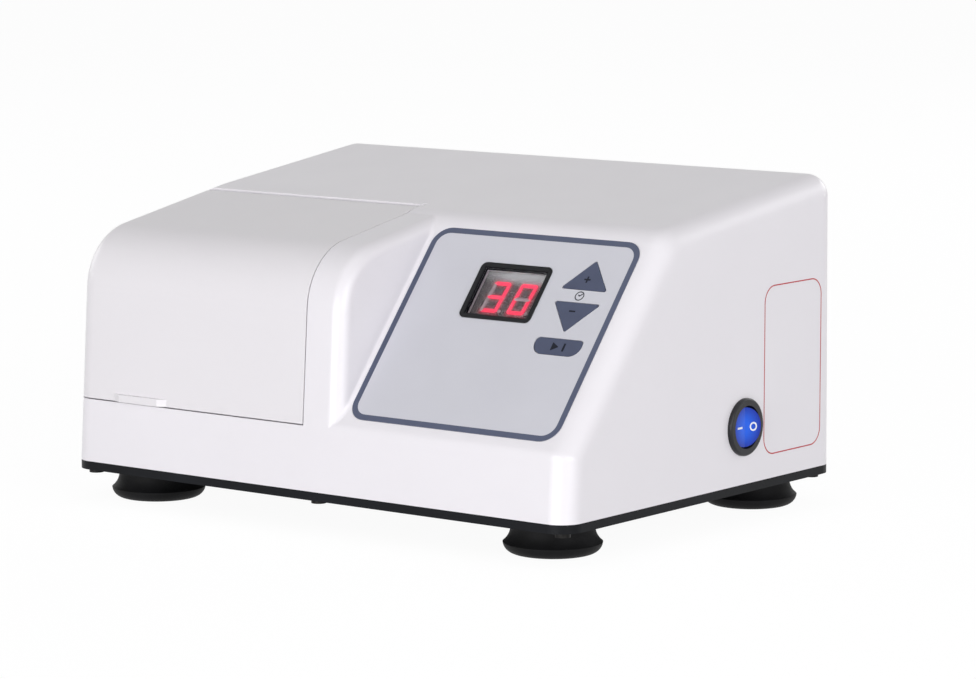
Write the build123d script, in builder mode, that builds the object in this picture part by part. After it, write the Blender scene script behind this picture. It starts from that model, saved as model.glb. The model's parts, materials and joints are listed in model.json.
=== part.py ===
from build123d import *
from math import atan2, cos, degrees, radians, sin, sqrt, tan
import os

# Dental amalgamator: a bench-top mixer that shakes a capsule in a fork under a hinged lid.
# Millimetres, +Z up, the front faces -Y. The origin is the middle of the bounding box, on the bench.

os.makedirs("parts", exist_ok=True)

# ---------------------------------------------------------------- driving dimensions
# Cover
cover_width = 252.5
cover_depth = 184.0
cover_height = 120.0        # sharp rear top edge above the base plate
cover_wall = 3.0
front_lean = 3.8            # degrees
rear_lean = 0.7
top_tilt = 7.4
lid_tilt = 10.5
bend_setback = 88.0         # front edge to the soft bend between lid top and rear top
bend_radius = 120.0
brow_radius = 27.0          # rounding from the lid's top into its front
panel_tilt = 50.2
fold_height = 26.4          # front fold of the control face above the base plate
fold_radius = 5.0
crest_radius = 15.0
side_radius = 9.0
deck_width = 140.5          # raised left part of the cover, lid and side strip together
deck_edge_radius = 5.6
cove_radius = 1.6           # hollow between the deck's wall and the sloped face

# Stance
ground_clearance = 12.5
base_thickness = 3.5
foot_inset = 25.0
foot_top_radius = 16.5
foot_radius = 19.2
foot_flare_height = 4.2
foot_pad_radius = 14.5
foot_recess_radius = 6.0
foot_recess_depth = 7.5

# Lid
lid_width = 123.0           # left side of the cover to the lid's right seam
lid_wall = 2.6
lid_sill = 25.5             # lower seam above the base plate
seam_gap = 0.5
hinge_depth = 6.5           # hinge axis below the lid's outer face
hinge_setback = 72.0        # front edge to the hinge axis
hinge_reach = 6.0           # hinge axis to the rear seam, along the top
hinge_gap = 0.9
reveal_depth = 1.9          # bevel of the cover's edge behind the lid
reveal_width = 1.0
pin_radius = 1.5
pin_clearance = 0.06
knuckle_radius = 3.5
knuckle_length = 16.0
ear_thickness = 5.0
washer_thickness = 0.5
washer_radius = 3.3
washer_clearance = 0.05
tab_width = 20.7            # along its front
tab_end = 3.8               # slanted end of the tab, along the lid
tab_height = 3.0
tab_standout = 1.8
tab_offset = 26.2           # left side of the cover to the tab
cam_side = 62.0             # left side of the cover to the cam
cam_width = 5.0
cam_height = 3.4
cam_standout = 0.3          # cam past the lid's round rear edge
plunger_gap = 0.4           # cam to the safety switch's plunger

# Chamber liner
liner_wall = 2.5
liner_gap = 0.3
liner_floor = 20.0          # chamber floor above the base plate
liner_upstand = 31.0        # top of the front and left upstand above the base plate
liner_post_radius = 4.5

# Control panel
panel_deck_margin = 1.8     # side of the deck to the panel
panel_side_margin = 9.2     # panel to the right side of the cover
panel_height = 91.0
panel_corner = 8.0
panel_rise = 4.6            # front fold to the panel's lower edge
film_thickness = 0.6
film_recess = 0.5
film_gap = 0.2
bezel_width = 34.4
bezel_height = 25.8
bezel_corner = 2.5
bezel_standout = 0.5
window_width = 30.2
window_height = 21.6
window_depth = 1.4
window_thickness = 1.0
display_drop = 27.6         # upper edge of the panel to the display's middle
display_pitch = 35.2        # display's middle to the keys' middle
key_inset = 18.6            # right edge of the panel to the keys' middle
up_key_drop = 23.2          # upper edge of the panel to the base of the up key
down_key_drop = 29.2
start_key_drop = 49.5       # upper edge of the panel to the start key's middle
key_width = 21.7
key_height = 13.4
key_standout = 0.15
key_travel = 0.35
key_pocket = 1.1
key_stem_radius = 2.0
start_width = 22.0
start_height = 7.3
board_depth = 12.5
board_thickness = 1.6
board_margin = 6.0
board_post_inset = 4.5      # edge of the control board to its standoffs
tact_height = 4.6
tact_size = 6.0
controller = (35.0, 9.0)
driver = (10.0, 7.0)
chip_height = 3.6
chip_drop = 20.0            # middle of the board to the chips
small_capacitor_radius = 2.6
small_capacitor_height = 8.0
small_capacitor_pitch = 9.0

# Mixing drive
shaft_radius = 4.0
shaft_side = 86.0           # left side of the cover to the shaft axis
shaft_height = 56.0         # shaft axis above the base plate
shaft_clearance = 0.05
hub_setback = 40.0          # front edge to the swing arm's hub
wobble_angle = 4.5          # degrees
wobble_offset = 0.8
bush_radius = 7.5
bush_length = 13.0
bearing_radius = 16.0
bearing_width = 9.0
ball_radius = 2.6
ball_count = 9
hub_radius = 20.5
hub_width = 12.0
arm_length = 46.0
arm_width = 13.0
fork_gap = 27.0
fork_width = 12.0
fork_strip = 1.6
fork_rise = 15.0
spring_radius = 3.2
spring_arm = 27.0           # hub axis to the springs along the arm
post_radius = 3.0

# Motor
motor_radius = 30.0
motor_length = 54.0
motor_cap_length = 8.0
motor_setback = 82.0        # front edge to the motor's front cap
motor_can_wall = 2.5
armature_radius = 24.0
armature_front = 8.0        # ends of the motor's case to the armature
armature_rear = 10.0
slot_count = 12
slot_radius = 1.9
slot_depth = 2.6
slot_mouth = 1.4
magnet_thickness = 2.6
fan_radius = 26.0
fan_width = 7.0
fan_blades = 9
fan_hub_radius = 9.0
isolator_height = 8.0
isolator_radius = 8.0

# Side switch and rear fittings
switch_radius = 11.5
switch_body_radius = 9.9
switch_standout = 1.8
switch_setback = 117.4
switch_height = 23.0
rocker_radius = 7.9
rocker_opening = 8.6
rocker_tilt = 9.0           # degrees, each side of the middle
rocker_pivot_depth = 3.0
rocker_crown = 3.9
inlet_side = 44.0           # right side of the cover to the inlet's middle
inlet_height = 30.0
fuse_side = 92.0
fuse_height = 30.0
blade = (2.0, 4.0)
blade_setback = 3.0         # mouth of the inlet to the blades' tips
blade_tail = 4.0
socket_chamfer = 4.5
fuse_rim = 0.8
fuse_holder_length = 30.0
fuse_bore_radius = 4.6
fuse_bore_depth = 22.0
fuse_tag = (5.0, 0.8)
fuse_tag_length = 6.0
fuse_cap_radius = 7.4
fuse_cap_height = 1.1
fuse_plug_length = 8.0
coin_slot = (9.0, 1.4)
coin_slot_depth = 0.8

# Power supply
core_width = 57.0
core_depth = 26.0
core_height = 48.0
core_side = 25.5            # right side of the cover to the transformer's core
winding_overhang = 8.5      # winding past the core, front and rear
winding_setback = 56.5      # front edge to the winding
power_board_gap = 7.5       # winding to the power board
power_board_width = 74.0
power_board_side = 13.0     # right side of the cover to the power board
power_board_back = 15.0     # rear of the cover to the power board
power_board_height = 8.0
power_post_inset = 5.0      # edge of the power board to its standoffs
capacitor_radius = 8.0
capacitor_height = 26.0
relay = (16.0, 20.0)
relay_height = 16.0

# Fasteners
small_screw = 1.5
large_screw = 2.4
screw_clearance = 0.1
screw_inset = 7.0

# ---------------------------------------------------------------- places worked out from them
rocker_rise = (rocker_crown + rocker_radius * tan(radians(rocker_tilt))) * cos(radians(rocker_tilt))
rocker_standout = rocker_rise + rocker_radius * sin(radians(rocker_tilt)) - rocker_pivot_depth
left_x = -(cover_width + rocker_standout) / 2
right_x = left_x + cover_width
front_y = -cover_depth / 2
rear_y = cover_depth / 2
base_bottom = ground_clearance
base_top = base_bottom + base_thickness
deck_x = left_x + deck_width
lid_x = left_x + lid_width
below = 20.0                # how far a cutting block runs past the cover's open bottom


def meet(p, p_angle, q, q_angle):
    """Point where two lines of the side view meet, each given by a point and a slope in degrees."""
    px, py = cos(radians(p_angle)), sin(radians(p_angle))
    qx, qy = cos(radians(q_angle)), sin(radians(q_angle))
    t = ((q[0] - p[0]) * qy - (q[1] - p[1]) * qx) / (px * qy - py * qx)
    return (p[0] + t * px, p[1] + t * py)


def along(p, angle, distance):
    """Point of the side view at a distance from p in a direction."""
    return (p[0] + distance * cos(radians(angle)), p[1] + distance * sin(radians(angle)))


front_foot = (front_y, base_top)
rear_foot = (rear_y, base_top)
top_point = (rear_y, base_top + cover_height)
rear_crest = meet(rear_foot, 90 + rear_lean, top_point, top_tilt)
bend = meet((front_y + bend_setback, base_top), 90, top_point, top_tilt)
brow = meet(front_foot, 90 - front_lean, bend, lid_tilt)
fold = meet(front_foot, 90 - front_lean, (front_y, base_top + fold_height), 0)
crest = meet(fold, panel_tilt, top_point, top_tilt)

hinge_y = front_y + hinge_setback
lid_over_hinge = meet((hinge_y, base_top), 90, bend, lid_tilt)
hinge_z = lid_over_hinge[1] - hinge_depth / cos(radians(lid_tilt))
lid_edge_radius = sqrt(hinge_depth ** 2 + hinge_reach ** 2)
cover_edge_radius = lid_edge_radius + hinge_gap
sill_z = base_top + lid_sill

hinge_line = Plane(origin=(0, hinge_y, hinge_z), x_dir=(0, 1, 0), z_dir=(1, 0, 0))
lid_top = along((hinge_y, hinge_z), 90 + lid_tilt, hinge_depth)
lid_top_plane = Plane(
    origin=(left_x - below, *lid_top),
    x_dir=(0, cos(radians(lid_tilt)), sin(radians(lid_tilt))),
    z_dir=(1, 0, 0),
)
reveal_front = sqrt(cover_edge_radius ** 2 - (hinge_depth - reveal_depth) ** 2)


def side_outline(points, rounded, inset, skirt):
    """Closed side view of the cover, with rounded corners, drawn in by inset; skirt lowers its foot."""
    front_low = meet(front_foot, 90 - front_lean, (front_y, base_top - skirt), 0)
    rear_low = meet(rear_foot, 90 + rear_lean, (rear_y, base_top - skirt), 0)
    with BuildSketch() as outline:
        with BuildLine():
            Polyline(front_low, *points, rear_crest, rear_low, close=True)
        make_face()
        for point, radius in rounded:
            fillet(outline.vertices().sort_by_distance((*point, 0))[0], radius)
        if inset:
            offset(amount=-inset, kind=Kind.INTERSECTION, mode=Mode.REPLACE)
    return outline.sketch


def upper_edges(part, x, skirt):
    """Edges of one end face of a block, without the one along its open bottom."""
    return part.edges().filter_by(
        lambda edge: abs(edge.center().X - x) < 0.01 and edge.center().Z > base_top - skirt + 1
    )


def deck_block(inset=0.0, skirt=0.0):
    """Raised left part of the cover as a solid, with its right edge rounded."""
    outline = side_outline([brow, bend], [(brow, brow_radius), (bend, bend_radius)], inset, skirt)
    with BuildPart() as block:
        with BuildSketch(Plane.YZ.offset(left_x + inset)):
            add(outline)
        extrude(amount=deck_width - 2 * inset)
        right_edges = upper_edges(block, deck_x - inset, skirt)
        fillet(right_edges.sort_by(Axis.Y)[:-1], max(deck_edge_radius - inset, 0.5))
    return block.part


def cover_block(inset=0.0, skirt=0.0, hollow=True):
    """Whole outer form of the cover as a solid: the deck and the sloped control side."""
    overlap = 20.0
    outline = side_outline([fold, crest], [(fold, fold_radius), (crest, crest_radius)], inset, skirt)
    deck = deck_block(inset, skirt)
    with BuildPart() as block:
        add(deck)
        with BuildSketch(Plane.YZ.offset(deck_x - overlap)):
            add(outline)
        extrude(amount=right_x - inset - deck_x + overlap)
        if hollow:
            # round hollow along the foot of the deck's wall, which runs out at the height of the fold
            run_out = Plane.XY.offset(fold[1])
            foot = split(block.part, bisect_by=run_out, keep=Keep.BOTTOM, mode=Mode.PRIVATE)
            split(bisect_by=run_out, keep=Keep.TOP)
            slope = Axis((0, 0, 0), (0, cos(radians(panel_tilt)), sin(radians(panel_tilt))))
            fillet(block.edges().filter_by(slope).sort_by(Axis.X)[0], cove_radius + inset)
            add(foot)
        rear_top = block.edges().filter_by(Axis.X).group_by(Axis.Z)[-1]
        outer = upper_edges(block, left_x + inset, skirt) + upper_edges(block, right_x - inset, skirt)
        fillet(outer + rear_top, side_radius - inset)
    return block.part



outer_block = cover_block()
inner_block = cover_block(cover_wall, below)

# Sloped control face: a plane on its surface, centred on the keypad film
panel_width = cover_width - deck_width - panel_deck_margin - panel_side_margin
film_x = right_x - panel_side_margin - panel_width / 2
film_centre = along(fold, panel_tilt, panel_rise + panel_height / 2)
tilt = radians(panel_tilt)
film_origin = (film_x, film_centre[0], film_centre[1])
face_plane = Plane(origin=film_origin, x_dir=(1, 0, 0), z_dir=(0, -sin(tilt), cos(tilt)))
face_axis = Axis(film_origin, face_plane.z_dir)

key_x = panel_width / 2 - key_inset
display_x = key_x - display_pitch
display_y = panel_height / 2 - display_drop
up_base = panel_height / 2 - up_key_drop
down_base = panel_height / 2 - down_key_drop
start_y = panel_height / 2 - start_key_drop
stem_places = [
    (key_x, up_base + 0.38 * key_height),
    (key_x, down_base - 0.38 * key_height),
    (key_x, start_y),
]
board_places = [
    (
        side * (panel_width / 2 - board_margin - board_post_inset),
        end * (panel_height / 2 - board_margin - board_post_inset),
    )
    for side in (-1, 1)
    for end in (-1, 1)
]


def arrow_outline(base, direction, grow=0.0):
    """Triangular key: base line and pointing direction (+1 up the face, -1 down)."""
    with BuildSketch() as arrow:
        with BuildLine():
            Polyline(
                (key_x - key_width / 2, base),
                (key_x + key_width / 2, base),
                (key_x, base + direction * key_height),
                close=True,
            )
        make_face()
        if grow:
            offset(amount=grow, kind=Kind.INTERSECTION, mode=Mode.REPLACE)
        fillet(arrow.vertices(), 0.8)
    return arrow.sketch


def start_outline(grow=0.0):
    """Start key: a pill with a flatter top and a rounder foot."""
    with BuildSketch() as pill:
        with Locations((key_x, start_y)):
            Rectangle(start_width + 2 * grow, start_height + 2 * grow)
        corners = pill.vertices().group_by(Axis.Y)
        fillet(corners[0], 0.66 * start_height)
        fillet(pill.vertices().group_by(Axis.Y)[-1], 0.25 * start_height)
    return pill.sketch


key_outlines = {
    "up_key": arrow_outline(up_base, 1),
    "down_key": arrow_outline(down_base, -1),
    "start_key": start_outline(),
}
key_openings = [
    arrow_outline(up_base, 1, film_gap),
    arrow_outline(down_base, -1, film_gap),
    start_outline(film_gap),
]

# Side switch: a plane on the right wall, looking outwards
switch_y = front_y + switch_setback
switch_z = base_top + switch_height
switch_plane = Plane(origin=(right_x, switch_y, switch_z), x_dir=(0, 1, 0), z_dir=(1, 0, 0))


def rear_plane(side, height, depth=0.0):
    """Upright plane in the rear wall, looking backwards, at a distance in from the right side."""
    surface = rear_y - height * tan(radians(rear_lean))
    origin = (right_x - side, surface - depth, base_top + height)
    return Plane(origin=origin, x_dir=(-1, 0, 0), z_dir=(0, 1, 0))


recess_depth = 2.0
inlet_pocket = (54.0, 28.0)
inlet_cutout = (27.6, 20.0)
fuse_pocket_radius = 9.5
fuse_body_radius = 6.0

# Screw bosses of the cover
boss_radius = 4.5
boss_height = 12.0
cover_middle = (left_x + right_x) / 2
screw_places = [
    (x, y)
    for x in (left_x + screw_inset, cover_middle, right_x - screw_inset)
    for y in (front_y + screw_inset, rear_y - screw_inset)
]

# ---------------------------------------------------------------- cover
with BuildPart() as housing:
    add(outer_block)
    add(inner_block, mode=Mode.SUBTRACT)
    # opening for the lid, with a round edge that follows the lid's swing
    with BuildSketch(hinge_line.offset(left_x - below)):
        with Locations((-hinge_setback / 2 - below / 2 + seam_gap, 0)):
            Rectangle(hinge_setback + below, 2 * (hinge_z - sill_z))
        Circle(cover_edge_radius)
    extrude(amount=lid_width + below, mode=Mode.SUBTRACT)
    # bevel of the cover's edge behind the lid, which leaves a bright line along the seam
    with BuildSketch(lid_top_plane):
        with BuildLine():
            Polyline(
                (0, 0), (reveal_front + reveal_width, 0), (reveal_front, -reveal_depth),
                (0, -reveal_depth), close=True,
            )
        make_face()
        with Locations((0, 0)):
            Rectangle(reveal_front + reveal_width, reveal_depth, align=(Align.MIN, Align.MIN))
    extrude(amount=lid_width + below, mode=Mode.SUBTRACT)
    # shallow bed for the keypad film
    with BuildSketch(face_plane):
        RectangleRounded(panel_width + film_gap, panel_height + film_gap, panel_corner)
    extrude(amount=-film_recess, mode=Mode.SUBTRACT)
    # window, key pockets and stem holes
    with BuildSketch(face_plane):
        with Locations((display_x, display_y)):
            Rectangle(window_width, window_height)
        with Locations(*stem_places):
            Circle(key_stem_radius + film_gap)
    extrude(amount=-2 * cover_wall, mode=Mode.SUBTRACT)
    with BuildSketch(face_plane):
        for opening in key_openings:
            add(opening)
    extrude(amount=-key_pocket, mode=Mode.SUBTRACT)
    # side switch
    with BuildSketch(switch_plane):
        Circle(switch_body_radius + screw_clearance)
    extrude(amount=-2 * cover_wall, mode=Mode.SUBTRACT)
    # pads behind the rear pockets, then the pockets and their openings
    with BuildSketch(rear_plane(inlet_side, inlet_height, cover_wall)):
        Rectangle(inlet_pocket[0] + 2 * cover_wall, inlet_pocket[1] + 2 * cover_wall)
    with BuildSketch(rear_plane(fuse_side, fuse_height, cover_wall)):
        Circle(fuse_pocket_radius + cover_wall)
    extrude(amount=-recess_depth)
    with BuildSketch(rear_plane(inlet_side, inlet_height, recess_depth)):
        RectangleRounded(*inlet_pocket, 3)
    with BuildSketch(rear_plane(fuse_side, fuse_height, recess_depth)):
        Circle(fuse_pocket_radius)
    extrude(amount=2 * recess_depth, mode=Mode.SUBTRACT)
    with BuildSketch(rear_plane(inlet_side, inlet_height)):
        Rectangle(*inlet_cutout)
    with BuildSketch(rear_plane(fuse_side, fuse_height)):
        Circle(fuse_body_radius + screw_clearance)
    extrude(amount=-3 * cover_wall, mode=Mode.SUBTRACT)
    # cooling slots behind the motor
    with BuildSketch(rear_plane(cover_width - shaft_side, shaft_height + 8)):
        with GridLocations(6.5, 0, 10, 1):
            SlotOverall(34, 2.6, rotation=90)
    extrude(amount=-2 * cover_wall, mode=Mode.SUBTRACT)
    # screw bosses along the foot of the cover
    with BuildSketch(Plane.XY.offset(base_top)):
        with Locations(*screw_places):
            Circle(boss_radius)
    extrude(amount=boss_height)
    with BuildSketch(Plane.XY.offset(base_top)):
        with Locations(*screw_places):
            Circle(small_screw + screw_clearance)
    extrude(amount=boss_height - 2, mode=Mode.SUBTRACT)
housing.part.label = "housing"

# ---------------------------------------------------------------- lid
knuckle_xs = [left_x + 26, lid_x - 25]
cam_x = left_x + cam_side
cam_reach = lid_edge_radius + cam_standout
lid_inner_block = cover_block(lid_wall, below, hollow=False)
with BuildPart() as lid:
    add(outer_block)
    add(lid_inner_block, mode=Mode.SUBTRACT)
    with BuildSketch(hinge_line.offset(left_x - below)):
        with Locations((-hinge_setback / 2 - below / 2, (below - hinge_z + sill_z + seam_gap) / 2)):
            Rectangle(hinge_setback + below, hinge_z - sill_z - seam_gap + below)
        Circle(lid_edge_radius)
    extrude(amount=lid_width - seam_gap + below, mode=Mode.INTERSECT)
    # knuckles hang under the top wall, with a cam between them
    for x, length in [(x, knuckle_length) for x in knuckle_xs] + [(cam_x, cam_width)]:
        with BuildSketch(hinge_line.offset(x - length / 2)):
            Circle(knuckle_radius)
            with Locations((0, hinge_depth / 2 - lid_wall / 2)):
                Rectangle(2 * knuckle_radius, hinge_depth - lid_wall + 0.4)
        extrude(amount=length)
    with BuildSketch(hinge_line.offset(cam_x - cam_width / 2)):
        with Locations((cam_reach / 2, 0)):
            RectangleRounded(cam_reach, cam_height, 0.35 * cam_height)
    extrude(amount=cam_width)
    with BuildSketch(hinge_line.offset(left_x + lid_wall)):
        Circle(pin_radius + pin_clearance)
    extrude(amount=lid_width - lid_wall, mode=Mode.SUBTRACT)
    # pull tab on the lower front edge
    tab_slant = degrees(atan2(tab_standout, tab_end))
    tab_x = left_x + tab_offset + tab_width / 2
    tab_z = sill_z + seam_gap
    tab_y = meet(front_foot, 90 - front_lean, (0, tab_z + tab_height / 2), 0)[0]
    with BuildSketch(Plane.XY.offset(tab_z)) as tab:
        with Locations((tab_x, tab_y + lid_wall / 2)):
            Trapezoid(
                tab_width + 2 * tab_end * (1 + lid_wall / 2 / tab_standout),
                lid_wall / 2 + tab_standout,
                tab_slant,
                rotation=180,
                align=(Align.CENTER, Align.MIN),
            )
        fillet(tab.vertices().group_by(Axis.Y)[0], 1.0)
    extrude(amount=tab_height)
lid.part.label = "lid"


# ---------------------------------------------------------------- hinge pin and friction washers
ear_xs = [
    x + side * (knuckle_length / 2 + washer_thickness + 2 * washer_clearance + ear_thickness / 2)
    for x in knuckle_xs
    for side in (-1, 1)
]
pin_start = ear_xs[0] - ear_thickness / 2
with BuildPart() as lid_hinge_pin:
    with BuildSketch(hinge_line.offset(pin_start)):
        Circle(pin_radius)
    extrude(amount=ear_xs[-1] + ear_thickness / 2 - pin_start)
    chamfer(lid_hinge_pin.edges(), 0.3)
lid_hinge_pin.part.label = "lid_hinge_pin"

with BuildPart() as hinge_washers:
    for x in knuckle_xs:
        for side in (-1, 1):
            inner_face = x + side * (knuckle_length / 2 + washer_clearance)
            with BuildSketch(hinge_line.offset(inner_face)):
                Circle(washer_radius)
                Circle(pin_radius + pin_clearance, mode=Mode.SUBTRACT)
            extrude(amount=side * washer_thickness)
hinge_washers.part.label = "hinge_washers"

# ---------------------------------------------------------------- chamber liner
liner_right = lid_x + cover_wall - liner_gap    # outer face of its right wall, under the side strip
liner_inset = cover_wall + liner_gap
bulkhead_front = hinge_y
bulkhead_rear = bulkhead_front + liner_wall
floor_z = base_top + liner_floor
trough_radius = cover_edge_radius + 0.1
trough_end = 18.0           # degrees above level, under the cover's edge
shaft_x = left_x + shaft_side
shaft_z = base_top + shaft_height
seal_hole_radius = 14.0
liner_outer_block = cover_block(liner_inset, below, hollow=False)
liner_inner_block = deck_block(liner_inset + liner_wall, below)
liner_posts = [
    (x, y)
    for x in (left_x + 58, lid_x - 12)
    for y in (front_y + 16, bulkhead_front - 12)
]
plunger_radius = 2.0
plunger_clearance = 0.3


def cam_plane(y):
    """Plane across the safety switch's plunger at a depth y, looking backwards."""
    return Plane(origin=(cam_x, y, hinge_z), x_dir=(1, 0, 0), z_dir=(0, 1, 0))


def space_outline(floor, rear):
    """Side view of the space above a floor and in front of a bulkhead."""
    with BuildSketch(hinge_line.offset(left_x - below)) as outline:
        with Locations((rear - hinge_y, floor - hinge_z)):
            Rectangle(cover_depth, cover_height, align=(Align.MAX, Align.MIN))
    return outline.sketch


with BuildPart() as chamber_space:
    add(liner_inner_block)
    inner_length = liner_right - liner_wall - left_x + below
    extrude(space_outline(floor_z, bulkhead_front), amount=inner_length, mode=Mode.INTERSECT)

with BuildPart() as chamber_liner:
    add(liner_outer_block)
    outer_length = liner_right - left_x + below
    extrude(space_outline(floor_z - liner_wall, bulkhead_rear), amount=outer_length, mode=Mode.INTERSECT)
    add(chamber_space.part, mode=Mode.SUBTRACT)
    # open the top and front above the upstand, and clear the lid's swing
    with BuildSketch(hinge_line.offset(left_x - below)):
        with Locations((cover_depth / 2, base_top + liner_upstand - hinge_z)):
            Rectangle(2 * cover_depth, cover_height, align=(Align.MAX, Align.MIN))
    extrude(amount=lid_x - seam_gap - left_x + below, mode=Mode.SUBTRACT)
    # bulkhead up to the hinge, with the trough behind the lid's round rear edge
    with BuildSketch(hinge_line.offset(left_x + liner_inset)):
        with Locations((0, base_top + liner_upstand - hinge_z)):
            Rectangle(
                liner_wall,
                hinge_z - base_top - liner_upstand - trough_radius,
                align=(Align.MIN, Align.MIN),
            )
        Circle(trough_radius + liner_wall)
        Circle(trough_radius, mode=Mode.SUBTRACT)
        with BuildLine():
            end_y = 3 * trough_radius * cos(radians(trough_end))
            end_z = 3 * trough_radius * sin(radians(trough_end))
            Polyline(
                (0, 0), (end_y, end_z), (end_y, 3 * trough_radius), (-end_y, 3 * trough_radius),
                (-end_y, -3 * trough_radius), (0, -3 * trough_radius), close=True,
            )
        make_face(mode=Mode.SUBTRACT)
    extrude(amount=liner_right - liner_wall - left_x - liner_inset)
    add(liner_outer_block, mode=Mode.INTERSECT)
    # ears that carry the hinge pin
    for x in ear_xs:
        with BuildSketch(hinge_line.offset(x - ear_thickness / 2)):
            Circle(knuckle_radius)
            with Locations((-knuckle_radius, 0)):
                Rectangle(
                    knuckle_radius + 1.2, trough_radius + 2 * liner_wall, align=(Align.MIN, Align.MAX)
                )
        extrude(amount=ear_thickness)
    with BuildSketch(hinge_line.offset(pin_start)):
        Circle(pin_radius)
    extrude(amount=ear_xs[-1] + ear_thickness / 2 - pin_start, mode=Mode.SUBTRACT)
    # opening for the shaft and its seal
    with BuildSketch(Plane(origin=(shaft_x, bulkhead_rear, shaft_z), x_dir=(-1, 0, 0), z_dir=(0, 1, 0))):
        Circle(seal_hole_radius)
    extrude(amount=-2 * liner_wall, mode=Mode.SUBTRACT)
    # hole for the safety switch's plunger
    with BuildSketch(cam_plane(hinge_y + trough_radius - 2)):
        Circle(plunger_radius + plunger_clearance)
    extrude(amount=3 * liner_wall, mode=Mode.SUBTRACT)
    # posts down to the base plate
    with BuildSketch(Plane.XY.offset(base_top)):
        with Locations(*liner_posts):
            Circle(liner_post_radius)
            Circle(small_screw + screw_clearance, mode=Mode.SUBTRACT)
    extrude(amount=liner_floor - liner_wall)
chamber_liner.part.label = "chamber_liner"


# ---------------------------------------------------------------- safety switch behind the trough
switch_front = hinge_y + trough_radius + liner_wall + liner_gap
plunger_tip = hinge_y + cam_reach + plunger_gap
plunger_seat = 7.0
with BuildPart() as safety_switch:
    with BuildSketch(cam_plane(switch_front)):
        RectangleRounded(20, 10, 1)
    extrude(amount=12)
    with BuildSketch(cam_plane(switch_front)):
        Circle(plunger_radius + pin_clearance)
    extrude(amount=plunger_seat + 1, mode=Mode.SUBTRACT)
    with BuildSketch(cam_plane(switch_front + 12)):
        with GridLocations(6, 0, 3, 1):
            Rectangle(0.8, 4)
    extrude(amount=4)
safety_switch.part.label = "safety_switch"

with BuildPart() as safety_plunger:
    with BuildSketch(cam_plane(plunger_tip)):
        Circle(plunger_radius)
    extrude(amount=switch_front + plunger_seat - plunger_tip)
    fillet(safety_plunger.edges().group_by(Axis.Y)[0], 1.2)
safety_plunger.part.label = "safety_plunger"

# ---------------------------------------------------------------- base plate and feet
foot_places = [
    (x, y)
    for x in (left_x + foot_inset, right_x - foot_inset)
    for y in (front_y + foot_inset, rear_y - foot_inset)
]
foot_names = ["foot_front_left", "foot_rear_left", "foot_front_right", "foot_rear_right"]
isolator_places = [
    (shaft_x + side * 36, front_y + motor_setback + y)
    for side in (-1, 1)
    for y in (motor_cap_length + 4, motor_cap_length + motor_length - 4)
]
winding_depth = core_depth + 2 * winding_overhang
transformer_middle = (
    right_x - core_side - core_width / 2, front_y + winding_setback + winding_depth / 2,
)
power_board_front = transformer_middle[1] + winding_depth / 2 + power_board_gap
power_board_depth = rear_y - power_board_back - power_board_front
board_x = right_x - power_board_side - power_board_width / 2
board_y = power_board_front + power_board_depth / 2
board_post_places = [
    (
        board_x + side * (power_board_width / 2 - power_post_inset),
        board_y + end * (power_board_depth / 2 - power_post_inset),
    )
    for side in (-1, 1)
    for end in (-1, 1)
]
with BuildPart() as base_plate:
    with BuildSketch(Plane.XY.offset(base_bottom)):
        with Locations((cover_middle, 0)):
            RectangleRounded(cover_width, cover_depth, side_radius)
    extrude(amount=base_thickness)
    with BuildSketch(Plane.XY.offset(base_bottom)):
        with Locations(*screw_places, *liner_posts, *isolator_places, *board_post_places):
            Circle(small_screw + screw_clearance)
        with Locations(*foot_places):
            Circle(large_screw + screw_clearance)
    extrude(amount=base_thickness, mode=Mode.SUBTRACT)
    # air slots below the motor
    with BuildSketch(Plane.XY.offset(base_bottom)):
        with Locations((shaft_x, front_y + motor_setback + motor_length / 2 + motor_cap_length)):
            with GridLocations(7, 0, 7, 1):
                SlotOverall(36, 2.8, rotation=90)
    extrude(amount=base_thickness, mode=Mode.SUBTRACT)
base_plate.part.label = "base_plate"

feet = []
for name, (x, y) in zip(foot_names, foot_places):
    with BuildPart() as foot:
        with BuildSketch(Plane(origin=(x, y, 0), x_dir=(1, 0, 0), z_dir=(0, -1, 0))):
            with BuildLine():
                bore = large_screw + screw_clearance
                Polyline(
                    (bore, ground_clearance), (bore, foot_recess_depth),
                    (foot_recess_radius, foot_recess_depth), (foot_recess_radius, 0), (foot_pad_radius, 0),
                )
                ThreePointArc(
                    (foot_pad_radius, 0), (foot_radius - 0.9, 1.9), (foot_radius, foot_flare_height)
                )
                ThreePointArc(
                    (foot_radius, foot_flare_height), (foot_top_radius + 0.2, 7.6),
                    (foot_top_radius, ground_clearance),
                )
                Line((foot_top_radius, ground_clearance), (bore, ground_clearance))
            make_face()
        revolve(axis=Axis((x, y, 0), (0, 0, 1)))
    foot.part.label = name
    feet.append(foot)


def pan_screws(places, head_z, head_height, head_radius, tip_z, radius):
    """A set of like screws along Z: head_z is under the head, and the tip may lie above or below it."""
    up = 1 if tip_z > head_z else -1
    with BuildPart() as screws:
        with BuildSketch(Plane.XY.offset(head_z)):
            with Locations(*places):
                Circle(head_radius)
        extrude(amount=-up * head_height)
        with BuildSketch(Plane.XY.offset(head_z)):
            with Locations(*places):
                Circle(radius)
        extrude(amount=tip_z - head_z)
    return screws


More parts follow.
